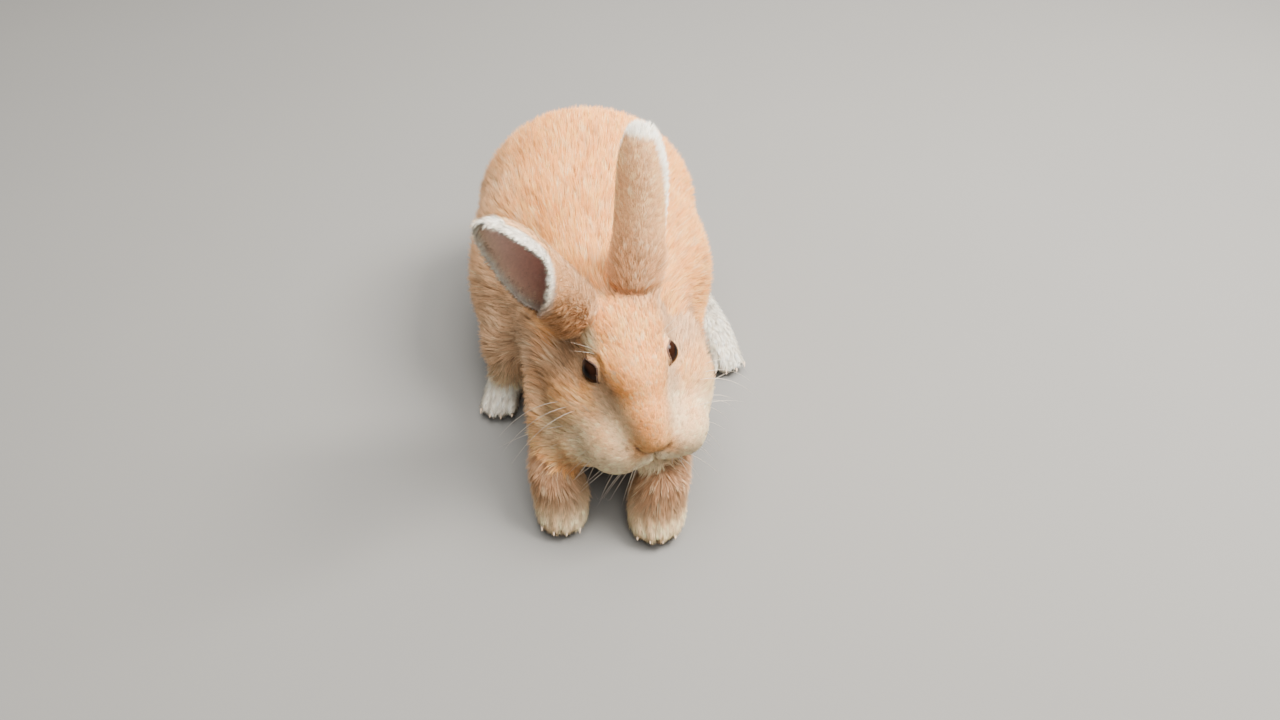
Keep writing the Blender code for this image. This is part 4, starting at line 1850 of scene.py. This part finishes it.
    def unwrap(self, mesh: Mesh, tufts: Tufts, faces: Array, size: int) -> None:
        """Gives each tuft a small patch at its root's place on an unwrap of the skin.

        The skin under the piece is laid out by part and by the side that it faces, one cell for each.

        Args:
            mesh: The piece's mesh.
            tufts: Its tufts.
            faces: Its triangles.
            size: The number of points in a tuft.
        """
        axis = np.argmax(np.abs(tufts.normal), axis=1)
        upward = np.take_along_axis(tufts.normal, axis[:, None], axis=1)[:, 0] > 0
        _, cell = np.unique(tufts.label * 6 + axis * 2 + upward, return_inverse=True)
        grid = math.ceil(math.sqrt(cell.max() + 1))
        x, y, z = tufts.root.T
        flat = np.stack([np.where(axis == 0, y, x), np.where(axis == 2, y, z)], axis=1)
        place = np.zeros_like(flat)
        for number in range(cell.max() + 1):
            mine = cell == number
            low, high = flat[mine].min(0), flat[mine].max(0)
            room = (flat[mine] - low) / max((high - low).max(), 1e-6)
            corner = np.array([number % grid, number // grid])
            place[mine] = (corner + 0.03 + 0.94 * room) / grid
        patch = self.patch * np.array([(-1, -1), (1, -1), (0, -0.4)])
        if size > 4:
            patch = np.concatenate([patch, patch * 0.7 + (0, 0.0004)])
        patch = np.concatenate([patch, [(0.0, self.patch)]])
        where = (place[:, None, :] + patch[None]).reshape(-1, 2)[faces.ravel()]
        layer = mesh.uv_layers.new(name=BAKE_MAP)
        layer.data.foreach_set("uv", np.clip(where, 0.0005, 0.9995).astype(np.float32).ravel())


# ---- whiskers, lashes, claws and eyes


# The strand tree's nodes by name, and its links: from a node's output to another's input.
STRAND_NODES = {
    "given": "NodeGroupInput", "curve": "GeometryNodeMeshToCurve", "even": "GeometryNodeResampleCurve",
    "circle": "GeometryNodeCurvePrimitiveCircle", "along": "GeometryNodeSplineParameter",
    "girth": "GeometryNodeInputNamedAttribute", "power": "ShaderNodeMath", "taper": "ShaderNodeMapRange",
    "thin": "ShaderNodeMath", "scale": "ShaderNodeMath", "sweep": "GeometryNodeCurveToMesh",
    "smooth": "GeometryNodeSetShadeSmooth", "realize": "GeometryNodeRealizeInstances",
    "finish": "GeometryNodeSetMaterial", "made": "NodeGroupOutput",
}
STRAND_LINKS = (
    ("given", "Lines", "curve", "Mesh"), ("curve", "Curve", "even", "Curve"),
    ("given", "Steps", "even", "Count"), ("given", "Sides", "circle", "Resolution"),
    ("along", "Factor", "power", 0), ("power", "Value", "taper", "Value"),
    ("given", "Bluntness", "taper", "To Max"), ("taper", "Result", "thin", 0),
    ("girth", "Attribute", "thin", 1), ("thin", "Value", "scale", 0), ("given", "Thickness", "scale", 1),
    ("even", "Curve", "sweep", "Curve"), ("circle", "Curve", "sweep", "Profile Curve"),
    ("scale", "Value", "sweep", "Scale"), ("sweep", "Mesh", "smooth", "Geometry"),
    ("smooth", "Geometry", "realize", "Geometry"), ("realize", "Geometry", "finish", "Geometry"),
    ("given", "Finish", "finish", "Material"), ("finish", "Geometry", "made", "Strands"),
)


@dataclass
class StrandTree:
    """A Geometry Nodes tree that turns each line of a mesh into a tapering closed strand."""

    name: str
    thickness: float = 1.0
    sides: int = 6
    steps: int = 10
    blunt: float = 0.04
    power: float = 1.5

    def make(self) -> GeometryNodeTree:
        """Builds the tree, with inputs for thickness, sides, steps, bluntness and material.

        Returns:
            The tree.
        """
        tree = bpy.data.node_groups.new(self.name, "GeometryNodeTree")
        for name, kind, value in (
            ("Lines", "Geometry", None), ("Thickness", "Float", self.thickness),
            ("Sides", "Int", self.sides), ("Steps", "Int", self.steps),
            ("Bluntness", "Float", self.blunt), ("Finish", "Material", None),
        ):
            socket = tree.interface.new_socket(name, in_out="INPUT", socket_type=f"NodeSocket{kind}")
            if value is not None:
                socket.default_value = value
        tree.interface.new_socket("Strands", in_out="OUTPUT", socket_type="NodeSocketGeometry")
        nodes = {name: tree.nodes.new(kind) for name, kind in STRAND_NODES.items()}
        nodes["circle"].inputs["Radius"].default_value = 1.0
        nodes["girth"].data_type = "FLOAT"
        nodes["girth"].inputs["Name"].default_value = "girth"
        nodes["taper"].inputs["To Min"].default_value = 1.0
        nodes["power"].operation = "POWER"
        nodes["power"].inputs[1].default_value = self.power
        nodes["thin"].operation = nodes["scale"].operation = "MULTIPLY"
        nodes["sweep"].inputs["Fill Caps"].default_value = True
        for start, given, end, taken in STRAND_LINKS:
            tree.links.new(nodes[start].outputs[given], nodes[end].inputs[taken])
        return tree


class Strands:
    """Makes whiskers, lashes and claws of lines, through one shared tree."""

    def __init__(self) -> None:
        """Builds the shared tree."""
        self.tree = StrandTree("tapering_strands").make()

    def build(self, name: str, lines: list, girths: list, finish: Material, **settings: float) -> Object:
        """Builds one object of many strands.

        Args:
            name: The piece's name.
            lines: For each strand, its points.
            girths: For each strand, its radius at the root.
            finish: Its material.
            **settings: Values for the tree's other inputs, by name.

        Returns:
            The finished piece.
        """
        mesh = bpy.data.meshes.new(name)
        counts = [len(line) for line in lines]
        ends = set(np.cumsum(counts).tolist())
        edges = [(point - 1, point) for point in range(1, sum(counts)) if point not in ends]
        mesh.from_pydata(np.concatenate(lines).tolist(), edges, [])
        girth = mesh.attributes.new("girth", "FLOAT", "POINT")
        girth.data.foreach_set("value", np.repeat(girths, counts).astype(np.float32))
        item = add_object(name, mesh)
        step = item.modifiers.new("strands", "NODES")
        step.node_group = self.tree
        given = {"Finish": finish, **settings}
        for socket in self.tree.interface.items_tree:
            if socket.in_out == "INPUT" and socket.name in given:
                step[socket.identifier] = given[socket.name]
        settle(item)
        face_outwards(item.data)
        girth = item.data.attributes.get("girth")
        if girth:
            item.data.attributes.remove(girth)
        if not item.data.materials:
            item.data.materials.append(finish)
        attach(item, BODY)
        LOG.info("%s: %d strands", name, len(lines))
        return item


def arc(start: Array, way: Array, droop: Array, length: float, steps: int = 9) -> Array:
    """The points of a line that sets off one way and bends aside by droop, a share of its length."""
    share = np.linspace(0, 1, steps)[:, None]
    return start + (unit(way) * share + droop * share**2) * length


class Hair(NamedTuple):
    """One stiff hair: its root, way and droop in the head, its length, and its radius at the root."""

    root: Array
    way: Array
    droop: Array
    length: float
    girth: float


@dataclass(frozen=True)
class HairRow:
    """A row of evenly spaced hairs on each side of the face."""

    count: int
    root: tuple
    root_step: tuple
    way: tuple
    way_step: tuple
    droop: tuple
    length: float
    girth: float

    def hairs(self, side: Side) -> Iterator[Hair]:
        """The row's hairs on one side.

        Args:
            side: The side.

        Yields:
            Each hair.
        """
        mirror = np.array([1, side.value, 1])
        for number in range(self.count):
            root = (np.array(self.root) + number * np.array(self.root_step)) * mirror
            way = (np.array(self.way) + number * np.array(self.way_step)) * mirror
            yield Hair(root, way, np.array(self.droop), self.length, self.girth)


BROWS = HairRow(
    count=2, root=(-3.0, 23.0, 13.0), root_step=(-4.0, 0.0, 0.0), way=(0.1, 0.85, 0.8),
    way_step=(-0.2, 0.0, 0.0), droop=(-0.3, 0.0, -0.55), length=0.024, girth=0.00009,
)
CHEEKS = HairRow(
    count=3, root=(20.0, 45.0, -12.0), root_step=(-7.0, 0.0, -4.0), way=(0.10, 0.95, 0.10),
    way_step=(-0.20, 0.0, -0.10), droop=(-0.1, 0.0, -1.1), length=0.050, girth=0.00015,
)


@dataclass
class Whiskers:
    """The whiskers of the muzzle, the hairs over the eyes and on the cheeks, and the chin's fringe."""

    head: HeadAxes
    strands: Strands
    rows: int = 4
    columns: int = 6
    fringe: int = 8
    floor_gap: float = 0.001
    seed: int = 31

    def build(self, skin_tree: BVHTree) -> None:
        """Builds the whiskers.

        Args:
            skin_tree: Finds the skin that they are rooted on.
        """
        random = np.random.default_rng(self.seed)
        hairs = []
        for side in Side:
            hairs += [*self.muzzle(side, random), *self.chin(side, random)]
            hairs += [*BROWS.hairs(side), *CHEEKS.hairs(side)]
        lines = [self.rooted(hair, skin_tree) for hair in hairs]
        girths = [hair.girth for hair in hairs]
        self.strands.build("whiskers", lines, girths, WHISKER.make(), Steps=12, Sides=5)

    def muzzle(self, side: Side, random: np.random.Generator) -> Iterator[Hair]:
        """The whiskers of one side of the muzzle, in rows that shorten downwards.

        Args:
            side: The side.
            random: Chooses their differences.

        Yields:
            Each whisker.
        """
        sign = side.value
        for row in range(self.rows):
            for column in range(self.columns - row // 2):
                root = np.array([52.0 - 5.5 * column, (14.0 + 4.4 * column) * sign, -24.0 - 5.0 * row])
                root += random.normal(0, 0.8, 3)
                drop = math.radians(34.0 + 15.0 * row + random.uniform(-9, 9))
                sweep = math.radians(-4.0 + 7.0 * column + random.uniform(-6, 6))
                way = np.array([-math.sin(sweep), sign * math.cos(sweep) * math.cos(drop), -math.sin(drop)])
                length = (40 + 6.0 * column - 1.0 * row + random.uniform(-6, 12)) * MM
                droop = np.array([-0.10, 0.0, -0.55 + random.uniform(-0.16, 0.12)])
                yield Hair(root, way, droop, length, random.uniform(0.15, 0.21) * MM)

    def chin(self, side: Side, random: np.random.Generator) -> Iterator[Hair]:
        """The hairs that hang from one side of the chin.

        Args:
            side: The side.
            random: Chooses their differences.

        Yields:
            Each hair.
        """
        sign = side.value
        for number in range(self.fringe):
            root = np.array([47.0 - 3.5 * number, sign * (3.0 + 3.6 * number), -45.0])
            way = np.array([random.normal(-0.05, 0.08), sign * random.normal(0.14, 0.08), -1.0])
            length = random.uniform(30, 42) * MM
            yield Hair(root, way, np.array([-0.12, 0.0, -0.1]), length, random.uniform(0.13, 0.18) * MM)

    def rooted(self, hair: Hair, skin_tree: BVHTree) -> Array:
        """A hair's line from the nearest point of the skin.

        Args:
            hair: The hair.
            skin_tree: Finds the skin.

        Returns:
            The line's points.
        """
        spot = skin_tree.find_nearest(Vector(self.head.out(hair.root)))[0]
        line = arc(np.array(spot), self.head.aim(hair.way), self.head.aim(hair.droop), hair.length)
        line[:, 2] = np.maximum(line[:, 2], self.floor_gap)
        return line


@dataclass
class Eyes:
    """The eyeballs with their corneas, the edges of the lids, and the lashes."""

    head: HeadAxes
    strands: Strands
    around: int = 48
    cornea: float = 0.04
    cornea_from: float = 0.55
    edge_steps: int = 72
    edge_sides: int = 10
    edge_stand_mm: float = 0.45
    edge_deep_mm: float = 0.50
    edge_wide_mm: float = 0.65
    lash_seed: int = 77

    def build(self) -> None:
        """Builds both eyes."""
        for lid in LIDS:
            self.eyeball(lid)
            self.lid_edge(lid)
        self.lashes()

    def eyeball(self, lid: Eyelid) -> None:
        """One eyeball, which stands for its CAD node.

        Args:
            lid: The lids round it.
        """
        outward, _, _ = lid.axes()
        middle = self.head.out(lid.middle_mm(self.head))
        ahead = self.head.aim(outward)
        radius = lid.radius_mm * MM
        shape = bmesh.new()
        turn = Vector(ahead).to_track_quat("Z", "Y").to_matrix().to_4x4()
        bmesh.ops.create_uvsphere(shape, u_segments=self.around, v_segments=self.around // 2, radius=1.0)
        for vert in shape.verts:
            past = max(0.0, (vert.co.z - self.cornea_from) / (1 - self.cornea_from))
            vert.co *= radius * (1 + self.cornea * past**1.5)
        bmesh.ops.transform(shape, matrix=Matrix.Translation(middle) @ turn, verts=shape.verts)
        mesh = bpy.data.meshes.new(f"eyeball_{lid.side.word}")
        shape.to_mesh(mesh)
        shape.free()
        mesh.shade_smooth()
        finish = EyeFinish(f"dark_brown_eye_{lid.side.word}")
        mesh.materials.append(finish.make(tuple(middle), tuple(ahead), radius))
        made = add_object(f"eyeball_{lid.side.word}", mesh)
        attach(made, BODY)
        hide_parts(f"eye_{lid.side.word}")
        LOG.info("eyeball_%s: %d points", lid.side.word, len(mesh.vertices))

    def lid_edge(self, lid: Eyelid) -> None:
        """The bare edge of the lids of one eye, as a closed ring.

        Args:
            lid: The lids.
        """
        count, sides = self.edge_steps, self.edge_sides
        line = lid.rim(self.head, count, self.edge_stand_mm)
        middle = self.head.out(lid.middle_mm(self.head))
        ahead = unit(np.roll(line, -1, axis=0) - np.roll(line, 1, axis=0))
        out = unit(line - middle)[:, None]
        aside = np.cross(ahead, out[:, 0])[:, None]
        turn = np.linspace(0, 2 * math.pi, sides, endpoint=False)[None, :, None]
        ring = np.cos(turn) * out * self.edge_deep_mm + np.sin(turn) * aside * self.edge_wide_mm
        ring = line[:, None] + ring * MM
        faces = []
        for i in range(count):
            for j in range(sides):
                a, b = i * sides + j, i * sides + (j + 1) % sides
                c, d = (a + sides) % (count * sides), (b + sides) % (count * sides)
                faces += [(a, b, d), (a, d, c)]
        name = f"lid_edge_{lid.side.word}"
        mesh = make_mesh(name, ring.reshape(-1, 3), np.array(faces))
        face_outwards(mesh)
        mesh.materials.append(LID_EDGE.make())
        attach(add_object(name, mesh), BODY)
        LOG.info("%s: %d points", name, len(mesh.vertices))

    def lashes(self) -> None:
        """Short lashes round the upper lids."""
        random = np.random.default_rng(self.lash_seed)
        lines, girths = [], []
        for lid in LIDS:
            outward, along, upward = lid.axes()
            middle = lid.middle_mm(self.head)
            rim = self.head.read(lid.rim(self.head, 120, 1.0))
            for point in rim[::3]:
                if (point - middle) @ upward < 1.0:
                    continue
                way = unit(point - middle) * 0.6 + upward * 0.7 + outward * 0.5 + random.normal(0, 0.08, 3)
                droop = -upward * 0.25 + along * random.normal(0, 0.1)
                length = random.uniform(2.2, 3.6) * MM
                start = self.head.out(point)
                lines.append(arc(start, self.head.aim(way), self.head.aim(droop), length, 5))
                girths.append(0.07 * MM)
        self.strands.build("lashes", lines, girths, LASH.make(), Steps=5, Sides=4)


@dataclass
class Claws:
    """The claws: curved horn, four to a foot, each in place of its CAD node."""

    strands: Strands
    root_radius: float = 0.0010
    bared: float = 0.72
    sunk: float = 0.0015
    short: float = 0.0003
    bow: float = 0.0009

    def build(self) -> None:
        """Builds the claws of all four feet."""
        horn = HORN.make()
        for foot in CLAWED_FEET:
            for side in Side:
                nodes = side.claws(foot)
                lines = [self.line(node) for node in nodes]
                radii = [self.root_radius] * len(lines)
                name = f"{foot}s_{side.word}"
                made = self.strands.build(name, lines, radii, horn, Steps=9, Sides=10, Bluntness=0.25)
                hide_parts(*nodes)

    def line(self, node: str) -> Array:
        """A claw's middle line: out of the toe, forward and down, within its CAD node's box.

        Args:
            node: The CAD node.

        Returns:
            The line's points.
        """
        low, high = (np.array(corner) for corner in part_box(node))
        across = (low + high)[0] / 2
        start = np.array([across, high[1] + self.sunk, high[2] - self.root_radius])
        end = np.array([across, low[1] + self.short, low[2] + self.root_radius * 0.4])
        share = np.linspace(0, self.bared, 7)[:, None]
        bow = np.array([0.0, 0.0, self.bow]) * (4 * share * (1 - share))
        return start + (end - start) * share + bow


# ---- the studio


class Lamp(NamedTuple):
    """A soft light: its name, place, width, power and colour."""

    name: str
    at: tuple
    size: float
    power: float
    colour: tuple


LAMPS = (
    Lamp("key", (0.95, 0.12, 1.35), 0.7, 88.0, (1.0, 0.965, 0.92)),
    Lamp("top", (0.05, 0.38, 1.85), 1.5, 74.0, (1.0, 0.985, 0.96)),
    Lamp("front", (0.30, -0.85, 1.5), 0.8, 15.0, (1.0, 0.98, 0.96)),
)


@dataclass
class Studio:
    """A plain pale floor, soft light from above and from the animal's left, and the camera."""

    camera_at: tuple = (0.02417, -0.54994, 0.550)
    camera_tilt: float = math.radians(45.0)
    lens: float = 26.72
    sensor: float = 36.0
    near: float = 0.01
    floor_half: float = 5.0
    room_colour: tuple = (0.96, 0.97, 1.0, 1.0)
    room_strength: float = 0.27
    aim: tuple = (0.0, 0.0, 0.08)

    def build(self) -> None:
        """Builds the floor, the lights and the camera."""
        side = self.floor_half
        ends = np.array([(-side, -side, 0), (side, -side, 0), (side, side, 0), (-side, side, 0)], float)
        floor = add_object("floor", make_mesh("floor", ends, np.array([(0, 1, 2), (0, 2, 3)])))
        floor.data.materials.append(GROUND.make())
        floor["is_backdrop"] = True
        for lamp in LAMPS:
            self.light(lamp)
        world = bpy.data.worlds.new("soft_room")
        world.use_nodes = True
        background = world.node_tree.nodes["Background"]
        background.inputs["Color"].default_value = self.room_colour
        background.inputs["Strength"].default_value = self.room_strength
        bpy.context.scene.world = world
        lens = bpy.data.cameras.new("camera")
        lens.lens = self.lens
        lens.sensor_width = self.sensor
        lens.clip_start = self.near
        camera = add_object("camera", lens)
        camera.location = self.camera_at
        camera.rotation_euler = (self.camera_tilt, 0.0, 0.0)
        bpy.context.scene.camera = camera

    def light(self, lamp: Lamp) -> None:
        """Adds one soft light that looks at the animal's middle.

        Args:
            lamp: The light.
        """
        light = bpy.data.lights.new(lamp.name, "AREA")
        light.size = lamp.size
        light.energy = lamp.power
        light.color = lamp.colour
        item = add_object(lamp.name, light)
        item.location = lamp.at
        item.rotation_euler = (Vector(self.aim) - Vector(lamp.at)).to_track_quat("-Z", "Y").to_euler()


def corners(box: tuple) -> list:
    """A box's two corners as plain lists."""
    return [[float(value) for value in corner] for corner in box]


def dress_skin(skin: Object, coat: Coat, shade: float = 0.8) -> None:
    """Colours the skin as the coat over it, a little darker as painted shade under the coat, and puts it in
    place of the nodes of flesh.

    Args:
        skin: The skin.
        coat: The coat over it.
        shade: How dark its painted shade is beside the coat.
    """
    surface, anatomy = coat.surface, coat.anatomy
    set_colours(skin.data, coat.markings.read(surface.points, surface.normals, coat.labels) * shade)
    skin.data.materials.clear()
    skin.data.materials.append(SkinFinish().make())
    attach(skin, BODY)
    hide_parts(*anatomy.nodes)


def main() -> None:
    """Builds the rabbit piece by piece."""
    logging.basicConfig(level=logging.INFO, format="%(name)s: %(message)s", stream=sys.stdout)
    cad_box = corners(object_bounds())
    Studio().build()
    head = HeadAxes()
    anatomy = Anatomy()
    skin = Skin(head, anatomy).build()
    coat = Coat(skin, head, anatomy, Markings(head, anatomy))
    dress_skin(skin, coat)
    fur = FurFinish("soft_fur").make()
    for number, piece in enumerate(COAT_PIECES):
        coat.build(piece, SEED_STEP * (number + 1), fur)
    strands = Strands()
    Eyes(head, strands).build()
    Whiskers(head, strands).build(coat.tree)
    Claws(strands).build()
    {"cad": cad_box, "visual": corners(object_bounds())}


if __name__ == "__main__":
    main()
